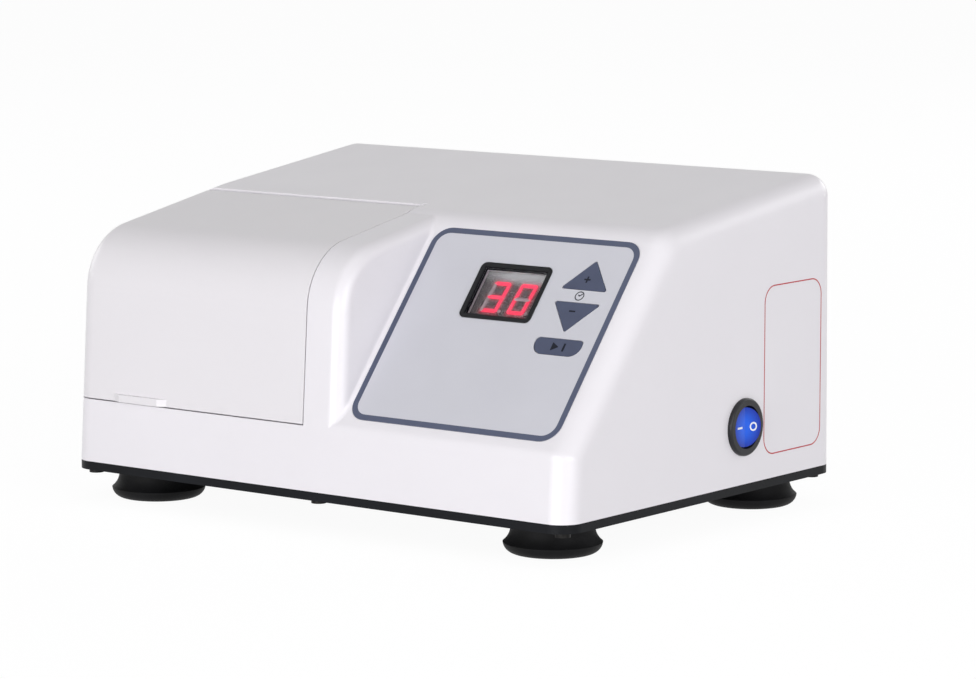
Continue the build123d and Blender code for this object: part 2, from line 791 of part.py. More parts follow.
nut_height = 4.0
foot_screws = pan_screws(foot_places, foot_recess_depth, 3.0, 4.6, base_top + nut_height + 1.5, large_screw)
foot_screws.part.label = "foot_screws"
with BuildPart() as foot_nuts:
    with BuildSketch(Plane.XY.offset(base_top)):
        with Locations(*foot_places):
            RegularPolygon(4.0, 6, major_radius=False)
        with Locations(*foot_places):
            Circle(large_screw, mode=Mode.SUBTRACT)
    extrude(amount=nut_height)
foot_nuts.part.label = "foot_nuts"
base_screws = pan_screws(
    screw_places + liner_posts, base_bottom, 2.0, 3.0, base_top + boss_height - 4, small_screw
)
base_screws.part.label = "base_screws"

# ---------------------------------------------------------------- motor
motor_front = front_y + motor_setback
case_front = motor_front + motor_cap_length
case_rear = case_front + motor_length
motor_rear = case_rear + motor_cap_length
bearing_boss = 9.0
hub_y = front_y + hub_setback


def drive_plane(y):
    """Plane across the shaft at a depth y, looking backwards."""
    return Plane(origin=(shaft_x, y, shaft_z), x_dir=(-1, 0, 0), z_dir=(0, 1, 0))


with BuildPart() as motor_case:
    with BuildSketch(drive_plane(case_front)):
        Circle(motor_radius)
        Circle(motor_radius - motor_can_wall, mode=Mode.SUBTRACT)
    extrude(amount=motor_length)
motor_case.part.label = "motor_case"


def motor_cap(y, outward):
    """End cap: a rim inside the case, vents and a boss that holds the shaft's bush."""
    with BuildPart() as cap:
        with BuildSketch(drive_plane(y)):
            Circle(motor_radius)
        extrude(amount=outward * motor_cap_length * 0.6)
        with BuildSketch(drive_plane(y)):
            Circle(bearing_boss + 3)
        extrude(amount=outward * motor_cap_length)
        with BuildSketch(drive_plane(y)):
            with PolarLocations(19, 6):
                SlotOverall(13, 5, rotation=90)
            Circle(bearing_boss)
        extrude(amount=outward * motor_cap_length, mode=Mode.SUBTRACT)
        fillet(cap.edges().filter_by(GeomType.CIRCLE).sort_by(SortBy.LENGTH)[-2:].sort_by(
            Axis.Y, reverse=outward > 0)[0], 2)
    return cap


motor_front_cap = motor_cap(case_front, -1)
motor_front_cap.part.label = "motor_front_cap"
motor_rear_cap = motor_cap(case_rear, 1)
motor_rear_cap.part.label = "motor_rear_cap"

with BuildPart() as motor_bushes:
    for y in (motor_front, case_rear):
        with BuildSketch(drive_plane(y)):
            Circle(bearing_boss)
            Circle(shaft_radius + shaft_clearance, mode=Mode.SUBTRACT)
        extrude(amount=motor_cap_length)
motor_bushes.part.label = "motor_bushes"

with BuildPart() as motor_magnets:
    for turn in (0, 180):
        with BuildSketch(drive_plane(case_front + 4)):
            Circle(motor_radius - motor_can_wall)
            Circle(motor_radius - motor_can_wall - magnet_thickness, mode=Mode.SUBTRACT)
            Rectangle(4 * motor_radius, 2 * motor_radius, align=(Align.CENTER, Align.MAX),
                      rotation=turn, mode=Mode.SUBTRACT)
            with Locations((0, 0)):
                Rectangle(4 * motor_radius, 16, mode=Mode.SUBTRACT)
        extrude(amount=motor_length - 8)
motor_magnets.part.label = "motor_magnets"

shaft_front = hub_y - bush_length / 2
shaft_rear = motor_rear + fan_width + 4
with BuildPart() as motor_shaft:
    with BuildSketch(drive_plane(shaft_front)):
        Circle(shaft_radius)
    extrude(amount=shaft_rear - shaft_front)
    with BuildSketch(drive_plane(shaft_front)):
        Circle(small_screw + screw_clearance)
    extrude(amount=12, mode=Mode.SUBTRACT)
motor_shaft.part.label = "motor_shaft"

with BuildPart() as armature:
    with BuildSketch(drive_plane(case_front + armature_front)):
        Circle(armature_radius)
        with PolarLocations(armature_radius - slot_depth, slot_count):
            Circle(slot_radius, mode=Mode.SUBTRACT)
        with PolarLocations(armature_radius, slot_count):
            Rectangle(2 * slot_depth - 0.2, slot_mouth, mode=Mode.SUBTRACT)
        Circle(shaft_radius, mode=Mode.SUBTRACT)
    extrude(amount=motor_length - armature_front - armature_rear)
armature.part.label = "armature"

with BuildPart() as cooling_fan:
    with BuildSketch(drive_plane(motor_rear + 2)):
        Circle(fan_hub_radius)
        with PolarLocations((fan_radius + fan_hub_radius - 1) / 2, fan_blades):
            Rectangle(fan_radius - fan_hub_radius + 2, 1.6)
        Circle(shaft_radius, mode=Mode.SUBTRACT)
    extrude(amount=fan_width)
    with BuildSketch(drive_plane(motor_rear + 2)):
        Circle(fan_radius - 1)
        Circle(shaft_radius, mode=Mode.SUBTRACT)
    extrude(amount=1.4)
cooling_fan.part.label = "cooling_fan"

# Cradle: a flange on rubber isolators, with two saddles and a strap over each
flange_z = base_top + isolator_height
flange_thickness = 3.0
saddle_top = shaft_z - 12
saddle_width = 10.0
saddle_half = 38.0
strap_thickness = 1.5
saddle_ys = [case_front + 3, case_rear - 3 - saddle_width]
cradle_middle = (case_front + case_rear) / 2
access_z = flange_z + flange_thickness + 9
strap_screw_depth = 9.0
strap_screw_places = [
    (shaft_x + side * (saddle_half - 3.4), y + saddle_width / 2) for side in (-1, 1) for y in saddle_ys
]
with BuildPart() as motor_cradle:
    with BuildSketch(Plane.XY.offset(flange_z)):
        with Locations((shaft_x, cradle_middle)):
            RectangleRounded(2 * saddle_half + 12, motor_length + 4, 5)
        with Locations((shaft_x, cradle_middle)):
            RectangleRounded(40, motor_length - 34, 4, mode=Mode.SUBTRACT)
    extrude(amount=flange_thickness)
    for y in saddle_ys:
        with BuildSketch(drive_plane(y)):
            with Locations((0, saddle_top - shaft_z)):
                Rectangle(2 * saddle_half, saddle_top - flange_z, align=(Align.CENTER, Align.MAX))
            Circle(motor_radius, mode=Mode.SUBTRACT)
            with Locations((-saddle_half, access_z - shaft_z), (saddle_half, access_z - shaft_z)):
                Circle(11, mode=Mode.SUBTRACT)
        extrude(amount=saddle_width)
    with BuildSketch(Plane.XY.offset(saddle_top)):
        with Locations(*strap_screw_places):
            Circle(small_screw + screw_clearance)
    extrude(amount=-strap_screw_depth - 1, mode=Mode.SUBTRACT)
    with BuildSketch(Plane.XY.offset(flange_z)):
        with Locations(*isolator_places):
            Circle(small_screw + screw_clearance)
    extrude(amount=flange_thickness, mode=Mode.SUBTRACT)
motor_cradle.part.label = "motor_cradle"

with BuildPart() as motor_straps:
    for y in saddle_ys:
        with BuildSketch(drive_plane(y)):
            Circle(motor_radius + strap_thickness)
            with Locations((0, saddle_top - shaft_z)):
                Rectangle(2 * saddle_half, strap_thickness, align=(Align.CENTER, Align.MIN))
            with Locations((0, saddle_top - shaft_z)):
                Rectangle(3 * saddle_half, 2 * motor_radius, align=(Align.CENTER, Align.MAX),
                          mode=Mode.SUBTRACT)
            Circle(motor_radius, mode=Mode.SUBTRACT)
        extrude(amount=saddle_width)
    with BuildSketch(Plane.XY.offset(saddle_top)):
        with Locations(*strap_screw_places):
            Circle(small_screw + screw_clearance)
    extrude(amount=strap_thickness, mode=Mode.SUBTRACT)
motor_straps.part.label = "motor_straps"
strap_screws = pan_screws(
    strap_screw_places, saddle_top + strap_thickness, 2.0, 2.8, saddle_top - strap_screw_depth, small_screw
)

with BuildPart() as motor_isolators:
    for x, y in isolator_places:
        with BuildSketch(Plane(origin=(x, y, base_top), x_dir=(1, 0, 0), z_dir=(0, -1, 0))):
            with BuildLine():
                inner = small_screw + screw_clearance
                Polyline(
                    (isolator_radius, isolator_height), (inner, isolator_height), (inner, 0),
                    (isolator_radius, 0),
                )
                ThreePointArc(
                    (isolator_radius, 0), (isolator_radius - 2, isolator_height / 2),
                    (isolator_radius, isolator_height),
                )
            make_face()
        revolve(axis=Axis((x, y, 0), (0, 0, 1)))
motor_isolators.part.label = "motor_isolators"
isolator_screws = pan_screws(
    isolator_places, flange_z + flange_thickness, 2.2, 3.0, base_bottom, small_screw
)

with BuildPart() as shaft_seal:
    with BuildSketch(Plane(origin=(shaft_x, bulkhead_front, shaft_z), x_dir=(1, 0, 0), z_dir=(0, 0, 1))):
        with BuildLine():
            Polyline(
                (seal_hole_radius + 2.5, -2), (seal_hole_radius + 2.5, 0), (seal_hole_radius, 0),
                (seal_hole_radius, liner_wall), (9, liner_wall), (shaft_radius + 0.6, liner_wall - 1),
                (shaft_radius + 0.6, liner_wall - 2.4), (9, 0), (11, -2), close=True,
            )
        make_face()
    revolve(axis=Axis((shaft_x, 0, shaft_z), (0, 1, 0)))
shaft_seal.part.label = "shaft_seal"

# ---------------------------------------------------------------- wobble drive and swing arm
wobble = radians(wobble_angle)
hub_centre = (shaft_x, hub_y, shaft_z + wobble_offset)
arm_plane = Plane(
    origin=hub_centre, x_dir=(-cos(wobble), -sin(wobble), 0), z_dir=(-sin(wobble), cos(wobble), 0)
)

with BuildPart() as wobble_bush:
    with BuildSketch(arm_plane):
        Circle(bush_radius)
    extrude(amount=bush_length / 2 - 0.6, both=True)
    with BuildSketch(arm_plane.offset(bearing_width / 2)):
        Circle(bush_radius + 2.2)
    extrude(amount=bush_length / 2 - 0.6 - bearing_width / 2)
    with BuildSketch(drive_plane(hub_y)):
        Circle(shaft_radius)
    extrude(amount=bush_length, both=True, mode=Mode.SUBTRACT)
wobble_bush.part.label = "wobble_bush"

with BuildPart() as counterweight:
    with BuildSketch(drive_plane(hub_y + 12)):
        Circle(22)
        with Locations((0, 3)):
            Rectangle(60, 40, align=(Align.CENTER, Align.MIN), mode=Mode.SUBTRACT)
        Circle(9)
        Circle(shaft_radius, mode=Mode.SUBTRACT)
    extrude(amount=7)
counterweight.part.label = "counterweight"

with BuildPart() as shaft_end_screw:
    with BuildSketch(drive_plane(shaft_front - 0.2)):
        Circle(6)
    extrude(amount=-1.6)
    with BuildSketch(drive_plane(shaft_front - 1.8)):
        Circle(3.2)
    extrude(amount=-2.6)
    with BuildSketch(drive_plane(shaft_front - 0.2)):
        Circle(small_screw)
    extrude(amount=10)
shaft_end_screw.part.label = "shaft_end_screw"

ball_track = (bush_radius + bearing_radius) / 2
race_gap = 1.5
groove = ball_radius + shaft_clearance


def race(inner, outer):
    """Bearing ring with a ball groove on the side that faces the balls."""
    with BuildPart() as ring:
        with BuildSketch(arm_plane):
            Circle(outer)
            Circle(inner, mode=Mode.SUBTRACT)
        extrude(amount=bearing_width / 2, both=True)
        ring_axis = Axis(arm_plane.origin, arm_plane.z_dir)
        with BuildSketch(Plane(origin=arm_plane.origin, x_dir=arm_plane.x_dir, z_dir=(0, 0, 1))):
            with Locations((ball_track, 0)):
                Circle(groove)
        revolve(axis=ring_axis, mode=Mode.SUBTRACT)
    return ring


bearing_inner_ring = race(bush_radius, ball_track - race_gap)
bearing_inner_ring.part.label = "bearing_inner_ring"
bearing_outer_ring = race(ball_track + race_gap, bearing_radius)
bearing_outer_ring.part.label = "bearing_outer_ring"
with BuildPart() as bearing_balls:
    with Locations(arm_plane):
        with PolarLocations(ball_track, ball_count):
            Sphere(ball_radius)
bearing_balls.part.label = "bearing_balls"

pad_x = (arm_length - 8.0, arm_length + 8.0)
pad_top = -10.0
pad_thickness = 3.5
lug_radius = 3.2
lug_hole = 1.3
lug_heights = (3.0, -16.5)
with BuildPart() as swing_arm:
    with BuildSketch(arm_plane):
        Circle(hub_radius)
        with BuildLine():
            Polyline(
                (4, hub_radius - 4), (pad_x[0] - 4, -3.5), (pad_x[0], pad_top),
                (pad_x[0], pad_top - pad_thickness),
                (pad_x[0] - 8, pad_top - pad_thickness), (4, -hub_radius + 2), close=True,
            )
        make_face()
        with Locations(*[(spring_arm, height) for height in lug_heights]):
            Circle(lug_radius)
    extrude(amount=arm_width / 4, both=True)
    with BuildSketch(arm_plane):
        Circle(hub_radius)
    extrude(amount=hub_width / 2, both=True)
    # pad under the fork
    with BuildSketch(arm_plane):
        with Locations((pad_x[0] - 3, pad_top)):
            Rectangle(pad_x[1] - pad_x[0] + 3, pad_thickness, align=(Align.MIN, Align.MAX))
    extrude(amount=arm_width / 2 + 3, both=True)
    with BuildSketch(arm_plane):
        Circle(bearing_radius)
        with Locations(*[(spring_arm, height) for height in lug_heights]):
            Circle(lug_hole)
    extrude(amount=hub_width, both=True, mode=Mode.SUBTRACT)
swing_arm.part.label = "swing_arm"

# Fork: one bent steel strip with two upright jaws, holed for the capsule's ends
fork_half = fork_gap / 2
fork_plane = Plane(
    origin=arm_plane.from_local_coords((arm_length, 0, 0)), x_dir=arm_plane.z_dir, z_dir=-arm_plane.x_dir
)
with BuildPart() as capsule_fork:
    with BuildSketch(fork_plane):
        with BuildLine():
            Polyline(
                (-fork_half - fork_strip, fork_rise / 2 + 4),
                (-fork_half - fork_strip, pad_top),
                (fork_half + fork_strip, pad_top),
                (fork_half + fork_strip, fork_rise / 2 + 4),
                (fork_half, fork_rise / 2 + 4),
                (fork_half, pad_top + fork_strip),
                (-fork_half, pad_top + fork_strip),
                (-fork_half, fork_rise / 2 + 4),
                close=True,
            )
        make_face()
    extrude(amount=fork_width / 2, both=True)
    bends = capsule_fork.edges().filter_by(Axis(arm_plane.origin, arm_plane.x_dir)).group_by(Axis.Z)
    fillet(bends[0], 2.4)
    with BuildSketch(arm_plane):
        with Locations((arm_length, 0)):
            Circle(2.6)
    extrude(amount=2 * fork_gap, both=True, mode=Mode.SUBTRACT)
capsule_fork.part.label = "capsule_fork"

fork_screw_plane = Plane(
    origin=arm_plane.from_local_coords((arm_length, pad_top + fork_strip, 0)),
    x_dir=arm_plane.x_dir,
    z_dir=(0, 0, 1),
)
with BuildPart() as fork_rivets:
    with BuildSketch(fork_screw_plane):
        with GridLocations(0, 9, 1, 2):
            Circle(2.2)
    extrude(amount=1.0)
fork_rivets.part.label = "fork_rivets"

# Springs that keep the arm from turning, between its lugs and two posts on the bulkhead
post_heights = (27.0, -31.0)
post_tip = 4.0


def arm_point(along_arm, height):
    """Point in the arm's own plane, in the shared frame."""
    return arm_plane.from_local_coords((along_arm, height, 0))


with BuildPart() as spring_posts:
    for height in post_heights:
        seat = arm_point(spring_arm, height)
        with BuildSketch(Plane(origin=(seat.X, bulkhead_front, seat.Z), x_dir=(1, 0, 0), z_dir=(0, -1, 0))):
            Circle(post_radius)
        extrude(amount=bulkhead_front - seat.Y + post_tip)
        with BuildSketch(Plane(origin=(seat.X, bulkhead_front, seat.Z), x_dir=(1, 0, 0), z_dir=(0, -1, 0))):
            Circle(post_radius + 2)
        extrude(amount=3)
spring_posts.part.label = "spring_posts"

wire_radius = 0.7
with BuildPart() as arm_springs:
    for lug, post in zip(lug_heights, post_heights):
        side = 1 if post > lug else -1
        start = lug + side * (lug_radius + 0.3)
        length = abs(post - lug) - lug_radius - post_radius - 0.6
        coils = int(length / (2 * wire_radius))
        pitch = length / coils
        foot_point = arm_point(spring_arm, start)
        with BuildSketch(Plane(origin=foot_point, x_dir=arm_plane.x_dir, z_dir=arm_plane.z_dir)):
            with BuildLine():
                ridge = [
                    (spring_radius - (wire_radius if step % 2 == 0 else 0), side * step * pitch / 2)
                    for step in range(2 * coils + 1)
                ]
                Polyline((0, 0), *ridge, (0, side * length), close=True)
            make_face()
        revolve(axis=Axis(foot_point, (0, 0, 1)))
arm_springs.part.label = "arm_springs"


# ---------------------------------------------------------------- keypad film, display and keys
with BuildPart() as keypad_film:
    with BuildSketch(face_plane.offset(-film_recess)):
        RectangleRounded(panel_width, panel_height, panel_corner)
        with Locations((display_x, display_y)):
            RectangleRounded(
                bezel_width + film_gap, bezel_height + film_gap, bezel_corner, mode=Mode.SUBTRACT
            )
        for opening in key_openings:
            add(opening, mode=Mode.SUBTRACT)
    extrude(amount=film_thickness)
keypad_film.part.label = "keypad_film"

with BuildPart() as display_bezel:
    with BuildSketch(face_plane.offset(-film_recess)):
        with Locations((display_x, display_y)):
            RectangleRounded(bezel_width, bezel_height, bezel_corner)
            Rectangle(window_width, window_height, mode=Mode.SUBTRACT)
    extrude(amount=film_recess + bezel_standout)
    inner_rim = display_bezel.faces().sort_by(face_axis)[-1].inner_wires()[0].edges()
    chamfer(inner_rim, 0.35)
display_bezel.part.label = "display_bezel"

with BuildPart() as display_window:
    with BuildSketch(face_plane.offset(-window_depth)):
        with Locations((display_x, display_y)):
            Rectangle(window_width - 0.1, window_height - 0.1)
    extrude(amount=-window_thickness)
display_window.part.label = "display_window"

module_face = -window_depth - window_thickness - 0.35
with BuildPart() as display_module:
    with BuildSketch(face_plane.offset(-board_depth)):
        with Locations((display_x, display_y)):
            Rectangle(window_width - 2.5, window_height - 1.5)
    extrude(amount=board_depth + module_face)
display_module.part.label = "display_module"

key_parts = []
for (name, outline), stem in zip(key_outlines.items(), stem_places):
    with BuildPart() as key:
        with BuildSketch(face_plane.offset(key_standout)):
            add(outline)
        extrude(amount=-film_thickness)
        with BuildSketch(face_plane.offset(key_standout - film_thickness)):
            with Locations(stem):
                Circle(key_stem_radius)
        extrude(amount=-(board_depth - tact_height - key_travel - 0.05 - film_thickness + key_standout))
        fillet(key.faces().sort_by(face_axis)[-1].edges(), 0.12)
    key.part.label = name
    key_parts.append(key)

with BuildPart() as control_board:
    with BuildSketch(face_plane.offset(-board_depth)):
        Rectangle(panel_width - 2 * board_margin, panel_height - 2 * board_margin)
        with Locations(*board_places):
            Circle(small_screw + screw_clearance, mode=Mode.SUBTRACT)
    extrude(amount=-board_thickness)
control_board.part.label = "control_board"

# Tact switches under the keys, and the controller parts on the board's back
with BuildPart() as board_components:
    with BuildSketch(face_plane.offset(-board_depth)):
        with Locations(*stem_places):
            RectangleRounded(tact_size, tact_size, 0.1 * tact_size)
    extrude(amount=tact_height - 1.1)
    with BuildSketch(face_plane.offset(-board_depth)):
        with Locations(*stem_places):
            Circle(1.7)
    extrude(amount=tact_height)
    with BuildSketch(face_plane.offset(-board_depth - board_thickness)):
        with Locations((-6, -chip_drop)):
            Rectangle(*controller)
        with Locations((24, -chip_drop)):
            Rectangle(*driver)
    extrude(amount=-chip_height)
    with BuildSketch(face_plane.offset(-board_depth - board_thickness)):
        with GridLocations(small_capacitor_pitch, 0, 4, 1):
            Circle(small_capacitor_radius)
    extrude(amount=-small_capacitor_height)
board_components.part.label = "board_components"

# ---------------------------------------------------------------- side switch
switch_cavity = 9.0
rocker_pin_radius = 1.0
rocker_origin = (right_x - rocker_pivot_depth, switch_y, switch_z)
rest = radians(rocker_tilt)
rocker_plane = Plane(origin=rocker_origin, x_dir=(cos(rest), -sin(rest), 0), z_dir=(0, 0, 1))
with BuildPart() as switch_body:
    with BuildSketch(switch_plane):
        Circle(switch_radius)
    extrude(amount=switch_standout)
    fillet(switch_body.edges().group_by(Axis.X)[-1], 0.9)
    with BuildSketch(switch_plane):
        Circle(switch_body_radius)
    extrude(amount=-18)
    with BuildSketch(switch_plane.offset(switch_standout)):
        Circle(rocker_opening)
    extrude(amount=-switch_cavity - switch_standout, mode=Mode.SUBTRACT)
    with BuildSketch(switch_plane.offset(-18)):
        with GridLocations(7, 0, 2, 1):
            Rectangle(0.8, 4.8)
    extrude(amount=-7)
    with BuildSketch(Plane(origin=rocker_origin, x_dir=(1, 0, 0), z_dir=(0, 0, 1))):
        Circle(rocker_pin_radius + pin_clearance)
    extrude(amount=switch_body_radius - 0.2, both=True, mode=Mode.SUBTRACT)
switch_body.part.label = "switch_body"

with BuildPart() as power_rocker:
    flare = rocker_radius * tan(rest)
    with BuildSketch(rocker_plane):
        with BuildLine():
            Polyline(
                (-2.4, -rocker_radius + 0.6), (rocker_crown + flare, -rocker_radius), (rocker_crown, 0),
                (rocker_crown + flare, rocker_radius), (-2.4, rocker_radius - 0.6), close=True,
            )
        make_face()
    extrude(amount=rocker_radius, both=True)
    with BuildSketch(Plane(origin=rocker_origin, x_dir=(0, 0, 1), z_dir=rocker_plane.x_dir)):
        Circle(rocker_radius)
    extrude(amount=2 * rocker_radius, both=True, mode=Mode.INTERSECT)
    with BuildSketch(rocker_plane):
        Circle(rocker_pin_radius)
    extrude(amount=switch_body_radius - 0.4, both=True)
power_rocker.part.label = "power_rocker"

# ---------------------------------------------------------------- rear fittings
inlet_plane = rear_plane(inlet_side, inlet_height, recess_depth)
inlet_flange = 2.0
inlet_depth = 20.0
socket_size = (24.4, 16.4)
socket_depth = 15.0
blade_places = [(-7, -2.5), (7, -2.5), (0, 2.5)]
with BuildPart() as mains_inlet:
    with BuildSketch(inlet_plane):
        RectangleRounded(inlet_pocket[0] - 1, inlet_pocket[1] - 1, 3)
    extrude(amount=inlet_flange - 0.2)
    with BuildSketch(inlet_plane):
        Rectangle(inlet_cutout[0] - 0.3, inlet_cutout[1] - 0.3)
    extrude(amount=-inlet_depth)
    with BuildSketch(inlet_plane.offset(inlet_flange)):
        socket = Rectangle(*socket_size)
        chamfer(socket.vertices().group_by(Axis.Y)[-1], socket_chamfer)
    extrude(amount=-socket_depth - inlet_flange, mode=Mode.SUBTRACT)
    with BuildSketch(inlet_plane):
        with Locations(*blade_places):
            Rectangle(*blade)
    extrude(amount=-inlet_depth, mode=Mode.SUBTRACT)
mains_inlet.part.label = "mains_inlet"

with BuildPart() as inlet_blades:
    with BuildSketch(inlet_plane.offset(-blade_setback)):
        with Locations(*blade_places):
            Rectangle(*blade)
    extrude(amount=-inlet_depth - blade_tail)
inlet_blades.part.label = "inlet_blades"

fuse_plane = rear_plane(fuse_side, fuse_height, recess_depth)
with BuildPart() as fuse_holder:
    with BuildSketch(fuse_plane):
        Circle(fuse_pocket_radius - 0.6)
    extrude(amount=fuse_rim)
    with BuildSketch(fuse_plane):
        Circle(fuse_body_radius)
    extrude(amount=-fuse_holder_length)
    with BuildSketch(fuse_plane.offset(fuse_rim)):
        Circle(fuse_bore_radius)
    extrude(amount=-fuse_bore_depth, mode=Mode.SUBTRACT)
    with BuildSketch(fuse_plane.offset(-fuse_holder_length)):
        Rectangle(*fuse_tag)
    extrude(amount=-fuse_tag_length)
fuse_holder.part.label = "fuse_holder"

with BuildPart() as fuse_cap:
    with BuildSketch(fuse_plane.offset(fuse_rim)):
        Circle(fuse_cap_radius)
    extrude(amount=fuse_cap_height)
    with BuildSketch(fuse_plane.offset(fuse_rim)):
        Circle(fuse_bore_radius - screw_clearance)
    extrude(amount=-fuse_plug_length)
    with BuildSketch(fuse_plane.offset(fuse_rim + fuse_cap_height)):
        Rectangle(*coin_slot)
    extrude(amount=-coin_slot_depth, mode=Mode.SUBTRACT)
fuse_cap.part.label = "fuse_cap"

# ---------------------------------------------------------------- power supply
power_board_z = base_top + power_board_height
with BuildPart() as power_board:
    with BuildSketch(Plane.XY.offset(power_board_z)):
        with Locations((board_x, board_y)):
            RectangleRounded(power_board_width, power_board_depth, 2)
        with Locations(*board_post_places):
            Circle(small_screw, mode=Mode.SUBTRACT)
    extrude(amount=board_thickness)
power_board.part.label = "power_board"

# Hexagonal standoffs of both boards
with BuildPart() as board_standoffs:
    with BuildSketch(face_plane.offset(-cover_wall)):
        with Locations(*board_places):
            RegularPolygon(3.0, 6, major_radius=False)
        with Locations(*board_places):
            Circle(small_screw, mode=Mode.SUBTRACT)
    extrude(amount=-(board_depth - cover_wall))
    with BuildSketch(Plane.XY.offset(base_top)):
        with Locations(*board_post_places):
            RegularPolygon(3.0, 6, major_radius=False)
        with Locations(*board_post_places):
            Circle(small_screw, mode=Mode.SUBTRACT)
    extrude(amount=power_board_z - base_top)
board_standoffs.part.label = "board_standoffs"

power_screws = pan_screws(
    board_post_places, power_board_z + board_thickness, 2.0, 2.8, base_bottom + 0.5, small_screw
)

# Pan-head machine screws inside the case: straps, isolators and both boards
with BuildPart() as machine_screws:
    with BuildSketch(face_plane.offset(-board_depth - board_thickness)):
        with Locations(*board_places):
            Circle(2.8)
    extrude(amount=-2)
    with BuildSketch(face_plane.offset(-board_depth - board_thickness)):
        with Locations(*board_places):
            Circle(small_screw)
    extrude(amount=board_thickness + 5)
    add(strap_screws.part)
    add(isolator_screws.part)
    add(power_screws.part)
machine_screws.part.label = "machine_screws"

# Two electrolytic capacitors and a relay
board_surface = power_board_z + board_thickness
capacitor_pitch = 2 * capacitor_radius + 2
with BuildPart() as power_components:
    with BuildSketch(Plane.XY.offset(board_surface)):
        with Locations((board_x - 13, board_y - 4)):
            with GridLocations(capacitor_pitch, 0, 2, 1):
                Circle(capacitor_radius)
    extrude(amount=capacitor_height)
    fillet(power_components.edges().group_by(Axis.Z)[-1], 0.15 * capacitor_radius)
    with BuildSketch(Plane.XY.offset(board_surface)):
        with Locations((board_x + 20, board_y - 2)):
            RectangleRounded(*relay, 1)
    extrude(amount=relay_height)
power_components.part.label = "power_components"

# E and I laminations: a middle leg a third of the width, windows half as wide
leg_width = core_width / 3
core_window_width = core_width / 6
core_window_height = core_height - 2 * (core_width / 6 + 0.25)
with BuildPart() as transformer_core:
    with BuildSketch(Plane(origin=(*transformer_middle, base_top), x_dir=(1, 0, 0), z_dir=(0, -1, 0))):
        Rectangle(core_width, core_height, align=(Align.CENTER, Align.MIN))
        with Locations((0, core_height / 2)):
            with GridLocations(leg_width + core_window_width, 0, 2, 1):
                Rectangle(core_window_width, core_window_height, mode=Mode.SUBTRACT)
    extrude(amount=core_depth / 2, both=True)
transformer_core.part.label = "transformer_core"

winding_height = core_window_height - 1.5
winding_bottom = base_top + (core_height - winding_height) / 2
with BuildPart() as transformer_winding:
    with BuildSketch(Plane(origin=(*transformer_middle, winding_bottom))):
        RectangleRounded(leg_width + 2 * core_window_width - 1.5, winding_depth, 5)
        Rectangle(leg_width + 0.4, core_depth + 0.4, mode=Mode.SUBTRACT)
    extrude(amount=winding_height)
transformer_winding.part.label = "transformer_winding"

pieces = [
    housing, lid, lid_hinge_pin, hinge_washers, chamber_liner, safety_switch, safety_plunger,
    base_plate, *feet, foot_screws, foot_nuts, base_screws, motor_case, motor_front_cap,
    motor_rear_cap, motor_bushes, motor_magnets, motor_shaft, armature, cooling_fan, motor_cradle, motor_straps, motor_isolators,
    machine_screws, shaft_seal, wobble_bush, counterweight, shaft_end_screw, bearing_inner_ring,
    bearing_outer_ring, bearing_balls, swing_arm, capsule_fork, fork_rivets, spring_posts, arm_springs,
    keypad_film, display_bezel, display_window, display_module, *key_parts, control_board,
    board_components, board_standoffs, switch_body, power_rocker, mains_inlet, inlet_blades, fuse_holder,
    fuse_cap, power_board, power_components, transformer_core, transformer_winding,
]
for piece in pieces:
    export_step(piece.part, f"parts/{piece.part.label}.step")
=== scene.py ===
import json
import math
import bmesh
import bpy
from mathutils import Matrix, Vector


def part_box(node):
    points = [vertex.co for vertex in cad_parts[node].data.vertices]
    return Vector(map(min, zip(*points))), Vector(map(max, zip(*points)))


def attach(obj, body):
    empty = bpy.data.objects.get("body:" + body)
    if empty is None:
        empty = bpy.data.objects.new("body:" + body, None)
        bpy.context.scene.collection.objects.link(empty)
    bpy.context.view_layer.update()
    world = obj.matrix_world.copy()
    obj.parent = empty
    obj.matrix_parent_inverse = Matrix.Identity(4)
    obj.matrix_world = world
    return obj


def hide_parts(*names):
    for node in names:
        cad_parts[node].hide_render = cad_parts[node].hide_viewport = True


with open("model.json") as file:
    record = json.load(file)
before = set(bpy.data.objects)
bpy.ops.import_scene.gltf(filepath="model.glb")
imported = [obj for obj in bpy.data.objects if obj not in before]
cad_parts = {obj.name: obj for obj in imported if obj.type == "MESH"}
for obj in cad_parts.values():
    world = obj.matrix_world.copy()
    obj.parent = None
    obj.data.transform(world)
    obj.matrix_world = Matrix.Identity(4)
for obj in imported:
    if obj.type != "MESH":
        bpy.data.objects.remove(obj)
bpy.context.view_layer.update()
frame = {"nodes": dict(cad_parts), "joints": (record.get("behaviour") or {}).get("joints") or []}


# Base plate: 3.5 mm steel sheet under the whole machine, laser cut and powder coated black.
# The coating is satin, with a fine pebble that breaks the light along the plate's edge.
nodes = frame["nodes"]
mm = 0.001


def linear(hex_colour):
    """sRGB hex value as the linear colour that the shaders take."""
    parts = [int(hex_colour[i:i + 2], 16) / 255 for i in (1, 3, 5)]
    return (*[p / 12.92 if p <= 0.04045 else ((p + 0.055) / 1.055) ** 2.4 for p in parts], 1.0)


def add(tree, kind, links=(), **settings):
    """Adds one node, sets its fields and sockets, and links its inputs: (input, node, output)."""
    node = tree.nodes.new("ShaderNode" + kind)
    for name, value in settings.items():
        if hasattr(node, name):
            setattr(node, name, value)
        else:
            node.inputs[name.replace("_", " ")].default_value = value
    for socket, source, output in links:
        tree.links.new(source.outputs[output], node.inputs[socket])
    return node


def new_finish(name, **shader_settings):
    """Empty material with its surface shader and the object's own coordinates, in metres."""
    finish = bpy.data.materials.new(name)
    finish.use_nodes = True
    tree = finish.node_tree
    tree.nodes.clear()
    place = add(tree, "TexCoord")
    shader = add(tree, "BsdfPrincipled", **shader_settings)
    add(tree, "OutputMaterial", [("Surface", shader, "BSDF")])
    return finish, tree, place, shader


